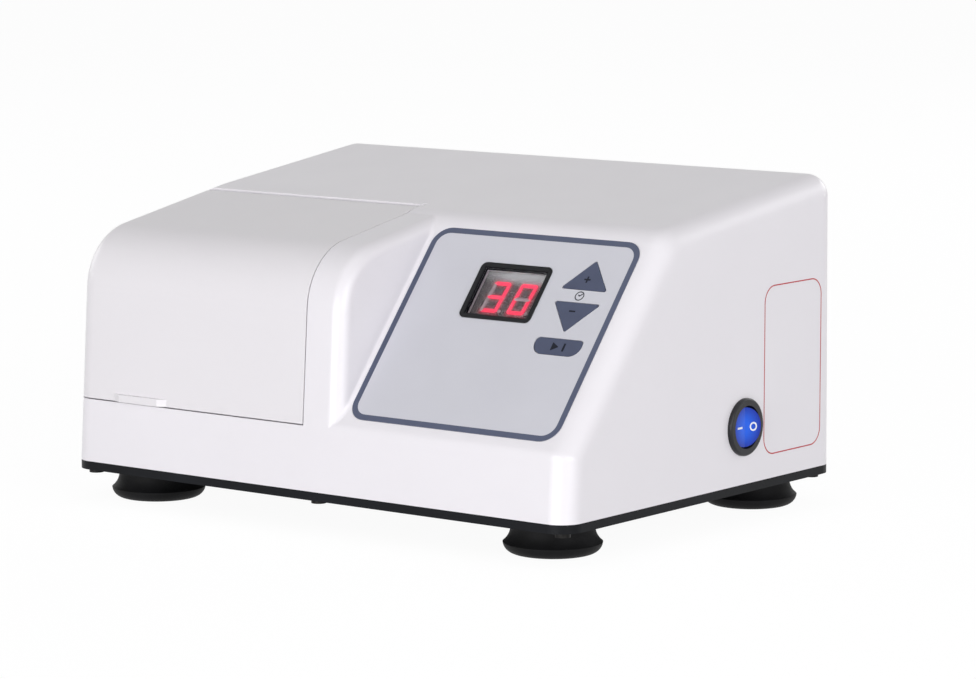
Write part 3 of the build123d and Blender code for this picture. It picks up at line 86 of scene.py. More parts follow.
def mottle(tree, place, shader, light, dark, patch_mm, spread=0.35):
    """Slow change between two close colours, in patches of a real size."""
    cloud = add(tree, "TexNoise", [("Vector", place, "Object")], Scale=1000 / patch_mm, Detail=3.0)
    ramp = add(tree, "ValToRGB", [("Fac", cloud, "Fac")])
    ramp.color_ramp.elements[0].position = 0.5 - spread / 2
    ramp.color_ramp.elements[1].position = 0.5 + spread / 2
    ramp.color_ramp.elements[0].color = linear(dark)
    ramp.color_ramp.elements[1].color = linear(light)
    tree.links.new(ramp.outputs["Color"], shader.inputs["Base Color"])


def pebble(tree, place, shader, grain_mm, depth_mm, roughness):
    """Fine surface texture: a bump of a real size and depth, and roughness that varies with it."""
    grain = add(tree, "TexNoise", [("Vector", place, "Object")], Scale=1000 / grain_mm, Detail=2.0)
    gloss = add(tree, "MapRange", [("Value", grain, "Fac")], To_Min=roughness[0], To_Max=roughness[1])
    bump = add(tree, "Bump", [("Height", grain, "Fac")], Strength=1.0, Distance=depth_mm * mm)
    tree.links.new(gloss.outputs["Result"], shader.inputs["Roughness"])
    tree.links.new(bump.outputs["Normal"], shader.inputs["Normal"])


def textured(name, light, dark, patch_mm, grain_mm, depth_mm, roughness, **shader_settings):
    """Finish of two close colours in patches, with a fine texture over them."""
    finish, tree, place, shader = new_finish(name, **shader_settings)
    mottle(tree, place, shader, light, dark, patch_mm)
    pebble(tree, place, shader, grain_mm, depth_mm, roughness)
    return finish


def dress(finish, *names):
    """Gives CAD nodes a finish."""
    for name in names:
        nodes[name].data.materials.clear()
        nodes[name].data.materials.append(finish)


powder_coat = textured("powder_coat_black", "#14161B", "#0E0F12", patch_mm=30, grain_mm=0.9,
                       depth_mm=0.03, roughness=(0.34, 0.5), Specular_IOR_Level=0.12)
dress(powder_coat, "base_plate")


# Feet: moulded rubber cups, wider at the bench than at the plate, each round a steel screw.
# Matte black rubber with a faint bloom in patches, and a dry, fine-grained skin.
foot_rubber = textured("moulded_rubber_black", "#101012", "#070708", patch_mm=9, grain_mm=0.6,
                       depth_mm=0.02, roughness=(0.5, 0.72), Specular_IOR_Level=0.15)
dress(foot_rubber, "foot_front_left", "foot_rear_left", "foot_front_right", "foot_rear_right")


# Fasteners, straps and posts: turned or rolled steel, zinc plated and bright passivated.
# Slightly blue metal, with stains a few millimetres wide left by the plating bath.
def plated(name, light, dark, stain_mm, roughness):
    """Plated, cast or ground metal with faint stains and a fine texture."""
    finish, tree, place, shader = new_finish(name, Metallic=1.0)
    mottle(tree, place, shader, light, dark, stain_mm, spread=0.6)
    pebble(tree, place, shader, grain_mm=0.5, depth_mm=0.004, roughness=roughness)
    return finish


zinc_plate = plated("zinc_plated_steel", "#C9CDD1", "#A3A8AE", stain_mm=4, roughness=(0.24, 0.42))
dress(zinc_plate, "foot_screws", "foot_nuts", "machine_screws", "motor_straps", "shaft_end_screw",
      "spring_posts")
# The base screws are hardened and chemically blackened, which leaves them dull.
black_oxide = plated("black_oxide_steel", "#2E2D2C", "#1B1B1C", stain_mm=3, roughness=(0.35, 0.55))
dress(black_oxide, "base_screws")


# Motor: a rolled and lacquered steel can between two die-cast end caps, on a cast cradle.
# The castings are grey aluminium, blasted to an even, dull grain of about half a millimetre.
can_lacquer = textured("lacquered_motor_can", "#5D6166", "#4A4E53", patch_mm=18, grain_mm=1.4,
                       depth_mm=0.01, roughness=(0.3, 0.45), Metallic=0.6)
dress(can_lacquer, "motor_case")
blasted_casting = plated("blasted_aluminium_casting", "#A9ACB0", "#8E9196", stain_mm=12,
                         roughness=(0.42, 0.62))
dress(blasted_casting, "motor_front_cap", "motor_rear_cap", "motor_cradle")
# The isolators and the shaft's seal are soft rubber: dark grey, with no shine.
isolator_rubber = textured("isolator_rubber", "#2A2A2C", "#1A1A1B", patch_mm=6, grain_mm=0.5,
                           depth_mm=0.02, roughness=(0.6, 0.78), Specular_IOR_Level=0.3)
dress(isolator_rubber, "motor_isolators", "shaft_seal")


# Rotor: ground steel shaft, slotted stack of sheet steel, sintered bushes and a nylon fan.
# The stack's 0.5 mm sheets are too fine to show, so they are drawn as rings 6.28 mm apart.
ground_steel = plated("ground_steel", "#D3D5D8", "#BDC0C4", stain_mm=7, roughness=(0.12, 0.24))
dress(ground_steel, "motor_shaft", "wobble_bush", "counterweight", "bearing_inner_ring",
      "bearing_outer_ring", "bearing_balls", "lid_hinge_pin")

# At a scale of 1, the wave pattern repeats every pi / 10 metres.
wave_period = math.pi / 10
ring_spacing = 6.28 * mm
ring_depth = 0.05 * mm
sheet_stack, tree, place, shader = new_finish("laminated_core_steel", Metallic=0.8, Roughness=0.5)
mottle(tree, place, shader, "#77797C", "#5B5D61", patch_mm=5)
sheets = add(tree, "TexWave", [("Vector", place, "Object")], bands_direction="Y",
             Scale=wave_period / ring_spacing, Distortion=0.3)
ridges = add(tree, "Bump", [("Height", sheets, "Fac")], Strength=0.6, Distance=ring_depth)
tree.links.new(ridges.outputs["Normal"], shader.inputs["Normal"])
dress(sheet_stack, "armature", "transformer_core")

# Sintered ferrite is nearly black and dry; sintered bronze is a dull brown gold.
ferrite = textured("sintered_ferrite", "#3A3A3D", "#29292B", patch_mm=3, grain_mm=0.4,
                   depth_mm=0.02, roughness=(0.6, 0.8))
dress(ferrite, "motor_magnets")
sintered_bronze = plated("sintered_bronze", "#B98F5A", "#9A7343", stain_mm=3, roughness=(0.35, 0.5))
dress(sintered_bronze, "motor_bushes")
# Turned brass is a clear yellow with a soft shine; moulded nylon is charcoal and satin.
turned_brass = plated("turned_brass", "#D9B66A", "#C29B4E", stain_mm=3, roughness=(0.2, 0.35))
dress(turned_brass, "board_standoffs", "inlet_blades")
nylon_black = textured("moulded_nylon_black", "#232326", "#17171A", patch_mm=10, grain_mm=0.8,
                       depth_mm=0.02, roughness=(0.4, 0.55))
dress(nylon_black, "cooling_fan", "safety_switch", "fuse_holder", "fuse_cap", "mains_inlet")


# Swing arm: an aluminium casting round the tilted bearing, vibratory finished to a soft shine.
# The fork riveted to its end is one strip of spring steel, rolled bright, bent up at both ends.
arm_casting = plated("tumbled_aluminium", "#CDD0D3", "#B4B8BC", stain_mm=6, roughness=(0.26, 0.4))
dress(arm_casting, "swing_arm")
spring_steel = plated("rolled_spring_steel", "#C6C9CF", "#A8ADB6", stain_mm=5, roughness=(0.14, 0.28))
dress(spring_steel, "capsule_fork", "fork_rivets")


# Arm springs: two coils of 0.9 mm music wire, hooked between the arm's lugs and the posts.
# Each is one wire wound on a mandrel; the CAD solids are ribbed rods of the coils' outer size.
wire_width = 0.9 * mm
wire_sides = 8
coil_pitch = 1.75 * mm
coil_steps = 20
low_spring, high_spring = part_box("arm_springs")
spring_x = (low_spring.x + high_spring.x) / 2
spring_y = (low_spring.y + high_spring.y) / 2
spring_radius = (high_spring.x - low_spring.x) / 2
upper_spring_foot = 79.3 * mm
lower_spring_top = 52.5 * mm


def piece_from(mesh, name, finish, smooth=True):
    """Object made from a finished bmesh, at the origin, with one finish."""
    data = bpy.data.meshes.new(name)
    for face in mesh.faces:
        face.smooth = smooth
    mesh.to_mesh(data)
    mesh.free()
    data.materials.append(finish)
    piece = bpy.data.objects.new(name, data)
    bpy.context.scene.collection.objects.link(piece)
    return piece


def wound_spring(name, foot, top):
    """Helical spring: a ring of wire section spun upwards about the coil's axis."""
    mesh = bmesh.new()
    section = bmesh.ops.create_circle(mesh, segments=wire_sides, radius=wire_width / 2)["verts"]
    bmesh.ops.rotate(mesh, verts=section, matrix=Matrix.Rotation(math.pi / 2, 3, "X"))
    bmesh.ops.translate(mesh, verts=section,
                        vec=(spring_radius - wire_width / 2, 0, foot + wire_width / 2))
    turns = round((top - foot - wire_width) / coil_pitch)
    climb = (top - foot - wire_width) / (turns * coil_steps)
    bmesh.ops.spin(mesh, geom=mesh.verts[:] + mesh.edges[:], axis=(0, 0, 1), cent=(0, 0, 0),
                   dvec=(0, 0, climb), angle=turns * 2 * math.pi, steps=turns * coil_steps)
    bmesh.ops.translate(mesh, verts=mesh.verts[:], vec=(spring_x, spring_y, 0))
    bmesh.ops.holes_fill(mesh, edges=[edge for edge in mesh.edges if edge.is_boundary], sides=0)
    bmesh.ops.recalc_face_normals(mesh, faces=mesh.faces[:])
    return piece_from(mesh, name, spring_steel)


upper_spring = wound_spring("upper_arm_spring", upper_spring_foot, high_spring.z)
lower_spring = wound_spring("lower_arm_spring", low_spring.z, lower_spring_top)
for spring in (upper_spring, lower_spring):
    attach(spring, "chassis")
    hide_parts("arm_springs")


# Chamber liner: a black ABS tray that keeps splinters of a burst capsule away from the motor.
# Its walls carry a fine spark-eroded texture, which makes them matte and slightly grey.
liner_abs = textured("textured_abs_black", "#2B2C2F", "#1D1E20", patch_mm=22, grain_mm=0.7,
                     depth_mm=0.03, roughness=(0.45, 0.62))
dress(liner_abs, "chamber_liner", "safety_plunger")


# Cover and lid: two injection-moulded shells of white ABS with a polished surface.
# The mould's polish leaves a long, very shallow ripple that softens the highlights.
def polished_abs(name, light, dark, roughness):
    """Glossy moulded ABS: nearly even colour, a shallow ripple and a trace of fine texture."""
    finish, tree, place, shader = new_finish(name, IOR=1.53, Specular_IOR_Level=0.5)
    mottle(tree, place, shader, light, dark, patch_mm=60, spread=0.8)
    ripple_mm, ripple_depth = 14, 0.02 * mm
    grain_mm, grain_depth = 0.8, 0.0015 * mm
    ripple = add(tree, "TexNoise", [("Vector", place, "Object")], Scale=1000 / ripple_mm, Detail=1.0)
    grain = add(tree, "TexNoise", [("Vector", place, "Object")], Scale=1000 / grain_mm, Detail=2.0)
    long_wave = add(tree, "Bump", [("Height", ripple, "Fac")], Strength=1.0, Distance=ripple_depth)
    fine_wave = add(tree, "Bump", [("Height", grain, "Fac"), ("Normal", long_wave, "Normal")],
                    Strength=1.0, Distance=grain_depth)
    gloss = add(tree, "MapRange", [("Value", ripple, "Fac")], To_Min=roughness[0], To_Max=roughness[1])
    tree.links.new(gloss.outputs["Result"], shader.inputs["Roughness"])
    tree.links.new(fine_wave.outputs["Normal"], shader.inputs["Normal"])
    return finish


cover_abs = polished_abs("polished_abs_white", "#EAE7EC", "#E6E3E8", roughness=(0.28, 0.34))
dress(cover_abs, "housing")
lid_abs = polished_abs("polished_abs_lid", "#E5E2E6", "#E2DFE3", roughness=(0.28, 0.34))
dress(lid_abs, "lid")
# The hinge's friction washers are acetal: a warmer white, slightly waxy.
acetal = textured("acetal_white", "#ECEBE6", "#E2E1DB", patch_mm=5, grain_mm=0.6,
                  depth_mm=0.01, roughness=(0.35, 0.45), Subsurface_Weight=0.1)
dress(acetal, "hinge_washers")


# Keypad film: polyester, printed on its back and glued into a shallow bed in the sloped face.
# Light blue-grey field in satin; the velvet texture of the film is under a millimetre.
film_field, tree, place, shader = new_finish("printed_polyester_field", Specular_IOR_Level=0.45)
mottle(tree, place, shader, "#CECED6", "#C8C8D0", patch_mm=35, spread=0.7)
pebble(tree, place, shader, grain_mm=0.5, depth_mm=0.004, roughness=(0.4, 0.48))
dress(film_field, "keypad_film")

panel_tilt = math.radians(50.2)
film_thickness = 0.6 * mm
low_film, high_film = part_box("keypad_film")
panel_across = Vector((1, 0, 0))
panel_up = Vector((0, math.cos(panel_tilt), math.sin(panel_tilt)))
panel_out = Vector((0, -math.sin(panel_tilt), math.cos(panel_tilt)))


def flat_place(across, up, out, middle):
    """Matrix that takes a flat print on x and y to a face, with z pointing out of the face."""
    return Matrix.Translation(middle) @ Matrix((across, up, out)).transposed().to_4x4()


film_middle = (low_film + high_film) / 2 + panel_out * film_thickness / 2
film_face = flat_place(panel_across, panel_up, panel_out, film_middle)


# Printed border and clock symbol of the film: screen-printed ink in slate blue and near black.
# Each is a flat print of even thickness with crisp edges.
slate_ink = textured("slate_blue_ink", "#4D546C", "#474E66", patch_mm=12, grain_mm=0.5,
                     depth_mm=0.004, roughness=(0.38, 0.48), Specular_IOR_Level=0.45)
dark_ink = textured("dark_ink", "#141926", "#10141F", patch_mm=3, grain_mm=0.5,
                    depth_mm=0.004, roughness=(0.4, 0.5), Specular_IOR_Level=0.15)
ink_thickness = 0.04 * mm


def rounded_plate(mesh, width, height, corner, corner_steps=10):
    """Flat rectangle with round corners, centred on the origin."""
    bmesh.ops.create_grid(mesh, x_segments=1, y_segments=1, size=0.5)
    bmesh.ops.scale(mesh, vec=(width, height, 1), verts=mesh.verts[:])
    bmesh.ops.bevel(mesh, geom=mesh.verts[:], offset=corner, offset_type="OFFSET",
                    segments=corner_steps, profile=0.5, affect="VERTICES", material=-1)


def hollow(mesh, rim):
    """Cuts the middle out of a flat plate or disc and leaves a rim of even width."""
    bmesh.ops.inset_region(mesh, faces=mesh.faces[:], thickness=rim, use_even_offset=True,
                           use_boundary=True)
    middle = max(mesh.faces, key=lambda face: len(face.verts))
    bmesh.ops.delete(mesh, geom=[middle], context="FACES_ONLY")


def thicken(mesh, thickness):
    """Turns a flat outline into a closed solid, from z = 0 up."""
    grown = bmesh.ops.extrude_face_region(mesh, geom=mesh.faces[:], use_keep_orig=True)["geom"]
    raised = [item for item in grown if isinstance(item, bmesh.types.BMVert)]
    bmesh.ops.translate(mesh, verts=raised, vec=(0, 0, thickness))
    bmesh.ops.recalc_face_normals(mesh, faces=mesh.faces[:])


def laid_on(mesh, face, x=0.0, y=0.0, lift=0.0):
    """Moves a flat print to its place on a face."""
    bmesh.ops.transform(mesh, verts=mesh.verts[:], matrix=face @ Matrix.Translation((x, y, lift)))


border_width, border_height = 101.0 * mm, 91.0 * mm
border_corner = 8.0 * mm
border_line = 2.5 * mm
mesh = bmesh.new()
rounded_plate(mesh, border_width, border_height, border_corner)
hollow(mesh, border_line)
thicken(mesh, ink_thickness)
laid_on(mesh, film_face)
film_border = piece_from(mesh, "film_border", slate_ink, smooth=False)
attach(film_border, "chassis")


def join(mesh, part, x, y, turn=0.0):
    """Adds a finished part to a print, turned about its own middle and moved to a place."""
    bmesh.ops.rotate(part, verts=part.verts[:], matrix=Matrix.Rotation(turn, 3, "Z"))
    bmesh.ops.translate(part, verts=part.verts[:], vec=(x, y, 0))
    data = bpy.data.meshes.new("part")
    part.to_mesh(data)
    part.free()
    mesh.from_mesh(data)
    bpy.data.meshes.remove(data)


def bar(mesh, x, y, width, height, turn=0.0):
    """Adds one printed bar with slightly round corners."""
    part = bmesh.new()
    rounded_plate(part, width, height, corner=0.1 * mm, corner_steps=3)
    thicken(part, ink_thickness)
    join(mesh, part, x, y, turn)


def ring(mesh, x, y, radius, line):
    """Adds one printed ring."""
    part = bmesh.new()
    bmesh.ops.create_circle(part, cap_ends=True, segments=48, radius=radius)
    hollow(part, line)
    thicken(part, ink_thickness)
    join(mesh, part, x, y)


clock_x, clock_y = 31.4 * mm, 19.4 * mm
clock_radius = 2.1 * mm
clock_line = 0.42 * mm
hand_line = 0.46 * mm
clock_hands = (
    (0.5 * mm, 0.45 * mm, 1.7 * mm, math.radians(42)),
    (-0.35 * mm, 0.2 * mm, 1.0 * mm, math.radians(-38)),
)
mesh = bmesh.new()
ring(mesh, clock_x, clock_y, clock_radius, clock_line)
for x, y, length, turn in clock_hands:
    bar(mesh, clock_x + x, clock_y + y, length, hand_line, turn)
laid_on(mesh, film_face)
clock_symbol = piece_from(mesh, "clock_symbol", dark_ink, smooth=False)
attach(clock_symbol, "chassis")


# Keys: two triangles and a start key of slate-blue polycarbonate, level with the film.
# Each carries its symbol in dark ink: plus, minus, and a start triangle with a bar.
key_plastic = textured("slate_blue_polycarbonate", "#414963", "#3B425B", patch_mm=10, grain_mm=0.5,
                       depth_mm=0.004, roughness=(0.36, 0.46), Specular_IOR_Level=0.45)
dress(key_plastic, "up_key", "down_key", "start_key")
key_lift = 0.06 * mm
stroke_line = 0.7 * mm
stroke_length = 2.9 * mm
plus_x, plus_y = 31.6 * mm, 27.0 * mm
minus_x, minus_y = 31.3 * mm, 12.3 * mm
start_x, start_y = 32.0 * mm, -4.0 * mm

# The plus is one stroke across and a half stroke above and below it, so that no two overlap.
half_length = (stroke_length - stroke_line) / 2
half_middle = (stroke_line + half_length) / 2
mesh = bmesh.new()
bar(mesh, plus_x, plus_y, stroke_length, stroke_line)
bar(mesh, plus_x, plus_y + half_middle, stroke_line, half_length)
bar(mesh, plus_x, plus_y - half_middle, stroke_line, half_length)
laid_on(mesh, film_face, lift=key_lift)
plus_symbol = piece_from(mesh, "plus_symbol", dark_ink, smooth=False)
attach(plus_symbol, "up_key")

mesh = bmesh.new()
bar(mesh, minus_x, minus_y, stroke_length, stroke_line)
laid_on(mesh, film_face, lift=key_lift)
minus_symbol = piece_from(mesh, "minus_symbol", dark_ink, smooth=False)
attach(minus_symbol, "down_key")

arrow_radius = 2.2 * mm
arrow_corner = 0.25 * mm
arrow_offset = -1.6 * mm
stop_offset = 3.0 * mm
stop_width, stop_height = 0.9 * mm, 3.6 * mm
mesh = bmesh.new()
arrow = bmesh.new()
bmesh.ops.create_circle(arrow, cap_ends=True, segments=3, radius=arrow_radius)
bmesh.ops.bevel(arrow, geom=arrow.verts[:], offset=arrow_corner, offset_type="OFFSET", segments=3,
                profile=0.5, affect="VERTICES", material=-1)
thicken(arrow, ink_thickness)
join(mesh, arrow, start_x + arrow_offset, start_y, turn=-math.pi / 2)
bar(mesh, start_x + stop_offset, start_y, stop_width, stop_height)
laid_on(mesh, film_face, lift=key_lift)
start_symbol = piece_from(mesh, "start_symbol", dark_ink, smooth=False)
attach(start_symbol, "start_key")


# Display: a two-digit LED module behind a clear acrylic window in a glossy black bezel.
# The module's case is dark grey resin; its segments are milky plastic, red where they are lit.
bezel_black = textured("glossy_abs_black", "#101116", "#0B0C10", patch_mm=8, grain_mm=0.8,
                       depth_mm=0.004, roughness=(0.14, 0.24), Specular_IOR_Level=0.2)
dress(bezel_black, "display_bezel")
dark_resin = textured("module_case_grey", "#3F3B3D", "#343133", patch_mm=2, grain_mm=0.7,
                      depth_mm=0.02, roughness=(0.5, 0.7), Specular_IOR_Level=0.3)
dress(dark_resin, "display_module")
# The window's IOR is low, as its coating takes the glare off it and leaves it clear.
clear_window, tree, place, shader = new_finish(
    "clear_acrylic", IOR=1.15, Transmission_Weight=1.0, Base_Color=linear("#E4DFE1"))
pebble(tree, place, shader, grain_mm=3.0, depth_mm=0.002, roughness=(0.03, 0.06))
dress(clear_window, "display_window")

# The bezel's inner skirt lines the hole in the cover, from the bezel down to the window.
display_x, display_y = -3.3 * mm, 17.9 * mm
skirt_width, skirt_height = 30.14 * mm, 21.54 * mm
skirt_corner = 0.1 * mm
skirt_wall = 0.25 * mm
skirt_depth = 0.86 * mm
skirt_lift = -1.47 * mm
mesh = bmesh.new()
rounded_plate(mesh, skirt_width, skirt_height, skirt_corner, corner_steps=2)
hollow(mesh, skirt_wall)
thicken(mesh, skirt_depth)
laid_on(mesh, film_face, display_x, display_y, skirt_lift)
bezel_skirt = piece_from(mesh, "bezel_skirt", bezel_black, smooth=False)
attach(bezel_skirt, "chassis")

# A lit segment glows a little unevenly; an unlit one is pale and milky.
lit_segment, tree, place, shader = new_finish(
    "lit_segment_red", Base_Color=linear("#A02038"), Emission_Strength=1.0, Roughness=0.4)
glow_patch = 1.5
glow = add(tree, "TexNoise", [("Vector", place, "Object")], Scale=1000 / glow_patch, Detail=1.0)
tone = add(tree, "ValToRGB", [("Fac", glow, "Fac")])
tone.color_ramp.elements[0].color = linear("#F63A5C")
tone.color_ramp.elements[1].color = linear("#FF5473")
tree.links.new(tone.outputs["Color"], shader.inputs["Emission Color"])
dark_segment = textured("unlit_segment_milky", "#C6BCC0", "#B3A8AD", patch_mm=2, grain_mm=0.6,
                        depth_mm=0.005, roughness=(0.35, 0.5), Specular_IOR_Level=0.3)

digit_height, digit_width = 14.2 * mm, 8.2 * mm
digit_middles = (-9.2 * mm, 3.75 * mm)
digit_level = 16.8 * mm
digit_slope = math.tan(math.radians(5))
segment_width = 1.6 * mm
segment_gap = 0.18 * mm
segment_tip = 0.46 * segment_width
segment_thickness = 0.3 * mm
segment_lift = -2.8 * mm
point_radius = 0.75 * mm
point_offset = 4.7 * mm
point_level = 10.5 * mm
reach = digit_width - segment_width
rise = (digit_height - segment_width) / 2
flat, upright = 0.0, math.radians(90)
segment_places = {
    "top": (0, rise, reach, flat),
    "middle": (0, 0, reach, flat),
    "bottom": (0, -rise, reach, flat),
    "upper_left": (-reach / 2, rise / 2, rise, upright),
    "upper_right": (reach / 2, rise / 2, rise, upright),
    "lower_left": (-reach / 2, -rise / 2, rise, upright),
    "lower_right": (reach / 2, -rise / 2, rise, upright),
}
lit_in_digit = (
    ("top", "middle", "bottom", "upper_right", "lower_right"),
    ("top", "bottom", "upper_left", "upper_right", "lower_left", "lower_right"),
)
lean = Matrix.Identity(4)
lean[0][1] = digit_slope


def segments(name, lit, finish):
    """The lit or the unlit segments of both digits, which lean; the points are unlit."""
    mesh = bmesh.new()
    for middle, lit_names in zip(digit_middles, lit_in_digit):
        digit = bmesh.new()
        for segment, (x, y, length, turn) in segment_places.items():
            if (segment in lit_names) == lit:
                part = bmesh.new()
                rounded_plate(part, length + segment_width - 2 * segment_gap, segment_width,
                              segment_tip, corner_steps=1)
                thicken(part, segment_thickness)
                join(digit, part, x, y, turn)
        bmesh.ops.transform(digit, verts=digit.verts[:], matrix=lean)
        join(mesh, digit, middle, digit_level)
        if not lit:
            point = bmesh.new()
            bmesh.ops.create_circle(point, cap_ends=True, segments=16, radius=point_radius)
            thicken(point, segment_thickness)
            join(mesh, point, middle + point_offset, point_level)
    laid_on(mesh, film_face, lift=segment_lift)
    piece = piece_from(mesh, name, finish, smooth=False)
    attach(piece, "chassis")


segments("lit_segments", True, lit_segment)
segments("unlit_segments", False, dark_segment)

# The module's printed face is a thin card just under the segments, and its points carry two
# attributes: "glow" is painted red light round the lit segments; the other is a painted pale band of
# light near its top, stronger to the right.
card_width, card_height = 29.7 * mm, 21.1 * mm
card_columns, card_rows = 84, 60
card_thickness = 0.03 * mm
card_lift = -2.83 * mm
glow_reach = 1.3 * mm
# Painted light: the pale band's foot and height on the card, its least share at the left, and how fast
# it grows to the right.
painted_band_foot = 22.6 * mm
painted_band_height = 5.0 * mm
painted_band_least = 0.35
painted_band_growth = 2.4
mesh = bmesh.new()
bmesh.ops.create_grid(mesh, x_segments=card_columns, y_segments=card_rows, size=0.5)
bmesh.ops.scale(mesh, vec=(card_width, card_height, 1), verts=mesh.verts[:])
bmesh.ops.translate(mesh, verts=mesh.verts[:], vec=(display_x, display_y, 0))
thicken(mesh, card_thickness)
glow_layer = mesh.verts.layers.float.new("glow")
painted_band_layer = mesh.verts.layers.float.new("painted_light_band")
for vertex in mesh.verts:
    nearest = card_width
    for middle, lit_names in zip(digit_middles, lit_in_digit):
        height = vertex.co.y - digit_level
        side = vertex.co.x - middle - height * digit_slope
        for segment in lit_names:
            x, y, length, turn = segment_places[segment]
            along, beside = (side - x, height - y) if turn == flat else (height - y, side - x)
            nearest = min(nearest, math.hypot(max(abs(along) - length / 2, 0), beside))
    vertex[glow_layer] = math.exp(-(nearest / glow_reach) ** 2)
    # Painted light: the pale band rises from its foot and grows stronger towards the card's right
    # side.
    share_up = min(max((vertex.co.y - painted_band_foot) / painted_band_height, 0), 1)
    share_right = min(max((vertex.co.x - display_x) / card_width + 0.5, 0) * painted_band_growth, 1)
    vertex[painted_band_layer] = share_up * (painted_band_least + (1 - painted_band_least) * share_right)
laid_on(mesh, film_face, lift=card_lift)

face_grey, tree, place, shader = new_finish(
    "module_face_grey", Specular_IOR_Level=0.3, Roughness=0.6, Emission_Strength=0.6)
speck_mm = 0.4
# Painted light: the pale band, together with the dust specks, lightens the card's grey.
painted_light_band = add(tree, "Attribute", attribute_name="painted_light_band")
dust = add(tree, "TexNoise", [("Vector", place, "Object")], Scale=1000 / speck_mm, Detail=1.0)
specks = add(tree, "MapRange", [("Value", dust, "Fac")], From_Min=0.5, From_Max=0.68, To_Max=0.5)
pale = add(tree, "Math", [(0, painted_light_band, "Fac"), (1, specks, "Result")], operation="ADD", use_clamp=True)
grey = add(tree, "Mix", [("Factor", pale, "Value")], data_type="RGBA")
grey.inputs["A"].default_value = linear("#454143")
grey.inputs["B"].default_value = linear("#D6E0E0")
tree.links.new(grey.outputs["Result"], shader.inputs["Base Color"])
# Painted light: the card glows red round the lit segments.
halo = add(tree, "Attribute", attribute_name="glow")
red = add(tree, "Mix", [("Factor", halo, "Fac")], data_type="RGBA")
red.inputs["A"].default_value = linear("#000000")
red.inputs["B"].default_value = linear("#FF2A50")
tree.links.new(red.outputs["Result"], shader.inputs["Emission Color"])
module_face = piece_from(mesh, "module_face", face_grey, smooth=False)
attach(module_face, "chassis")


# Boards inside: glass-fibre laminate under green solder resist, with moulded components.
# The transformer's winding is wrapped in yellow polyester tape, with a lap every 25 mm.
solder_resist = textured("green_solder_resist", "#1F6B45", "#17573A", patch_mm=4, grain_mm=1.0,
                         depth_mm=0.02, roughness=(0.25, 0.4))
dress(solder_resist, "control_board", "power_board")
dress(nylon_black, "board_components", "power_components")
lap_spacing = 25.13 * mm
lap_depth = 0.1 * mm
winding_tape, tree, place, shader = new_finish("yellow_polyester_tape", Specular_IOR_Level=0.5)
mottle(tree, place, shader, "#D9A93C", "#C7952B", patch_mm=8)
laps = add(tree, "TexWave", [("Vector", place, "Object")], bands_direction="Z",
           Scale=wave_period / lap_spacing)
lap_edge = add(tree, "Bump", [("Height", laps, "Fac")], Strength=0.5, Distance=lap_depth)
tree.links.new(lap_edge.outputs["Normal"], shader.inputs["Normal"])
dress(winding_tape, "transformer_winding")


# Power switch: a round snap-in rocker switch, black nylon body and polycarbonate rocker.
# The rocker is a deep translucent blue, lit from behind by a small lamp near its pivot.
switch_nylon = textured("moulded_nylon_satin", "#232327", "#1A1A1D", patch_mm=6, grain_mm=0.7,
                        depth_mm=0.01, roughness=(0.32, 0.45), Specular_IOR_Level=0.3)
dress(switch_nylon, "switch_body")

pivot = next(Vector(joint["pos_m"]) for joint in frame["joints"] if joint["name"] == "rocker_swing")
lamp_reach = 4.5 * mm
lamp_fade = 9.5 * mm
rocker_blue, tree, place, shader = new_finish(
    "blue_polycarbonate", IOR=1.58, Specular_IOR_Level=0.25, Emission_Strength=0.25)
pebble(tree, place, shader, grain_mm=2.0, depth_mm=0.004, roughness=(0.16, 0.26))
centred = add(tree, "Mapping", [("Vector", place, "Object")], Location=-pivot)
from_lamp = add(tree, "VectorMath", [(0, centred, "Vector")], operation="LENGTH")
fade = add(tree, "MapRange", [("Value", from_lamp, "Value")], From_Min=lamp_reach, From_Max=lamp_fade)
blue = add(tree, "Mix", [("Factor", fade, "Result")], data_type="RGBA")
blue.inputs["A"].default_value = linear("#1A58D2")
blue.inputs["B"].default_value = linear("#0B2590")
tree.links.new(blue.outputs["Result"], shader.inputs["Base Color"])
tree.links.new(blue.outputs["Result"], shader.inputs["Emission Color"])
dress(rocker_blue, "power_rocker")

# The I and the O are pad printed in white ink, one on each half of the rocker's face.
symbol_white = textured("white_pad_ink", "#F2F4F8", "#E6E9EE", patch_mm=2, grain_mm=0.5,
                        depth_mm=0.004, roughness=(0.35, 0.45))
rocker_tilt = math.radians(9)
rocker_crown = 3.9 * mm
outwards, rearwards, upwards = Vector((1, 0, 0)), Vector((0, 1, 0)), Vector((0, 0, 1))
symbol_lift = 0.01 * mm
on_place, on_length, on_line = -3.4 * mm, 3.2 * mm, 0.8 * mm
off_place, off_radius, off_line = 4.2 * mm, 1.8 * mm, 0.65 * mm


def rocker_face(side):
    """Place of one half of the rocker's face: side -1 is the pressed front half, +1 the rear half."""
    tilt = Matrix.Rotation(-rocker_tilt, 3, "Z")
    turn = Matrix.Rotation(-rocker_tilt - side * rocker_tilt, 3, "Z")
    crown = pivot + tilt @ outwards * rocker_crown
    return flat_place(turn @ rearwards, upwards, turn @ outwards, crown)


mesh = bmesh.new()
bar(mesh, on_place, 0, on_length, on_line)
laid_on(mesh, rocker_face(-1), lift=symbol_lift)
on_symbol = piece_from(mesh, "on_symbol", symbol_white, smooth=False)
mesh = bmesh.new()
ring(mesh, off_place, 0, off_radius, off_line)
laid_on(mesh, rocker_face(1), lift=symbol_lift)
off_symbol = piece_from(mesh, "off_symbol", symbol_white, smooth=False)
for symbol in (on_symbol, off_symbol):
    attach(symbol, "power_rocker")


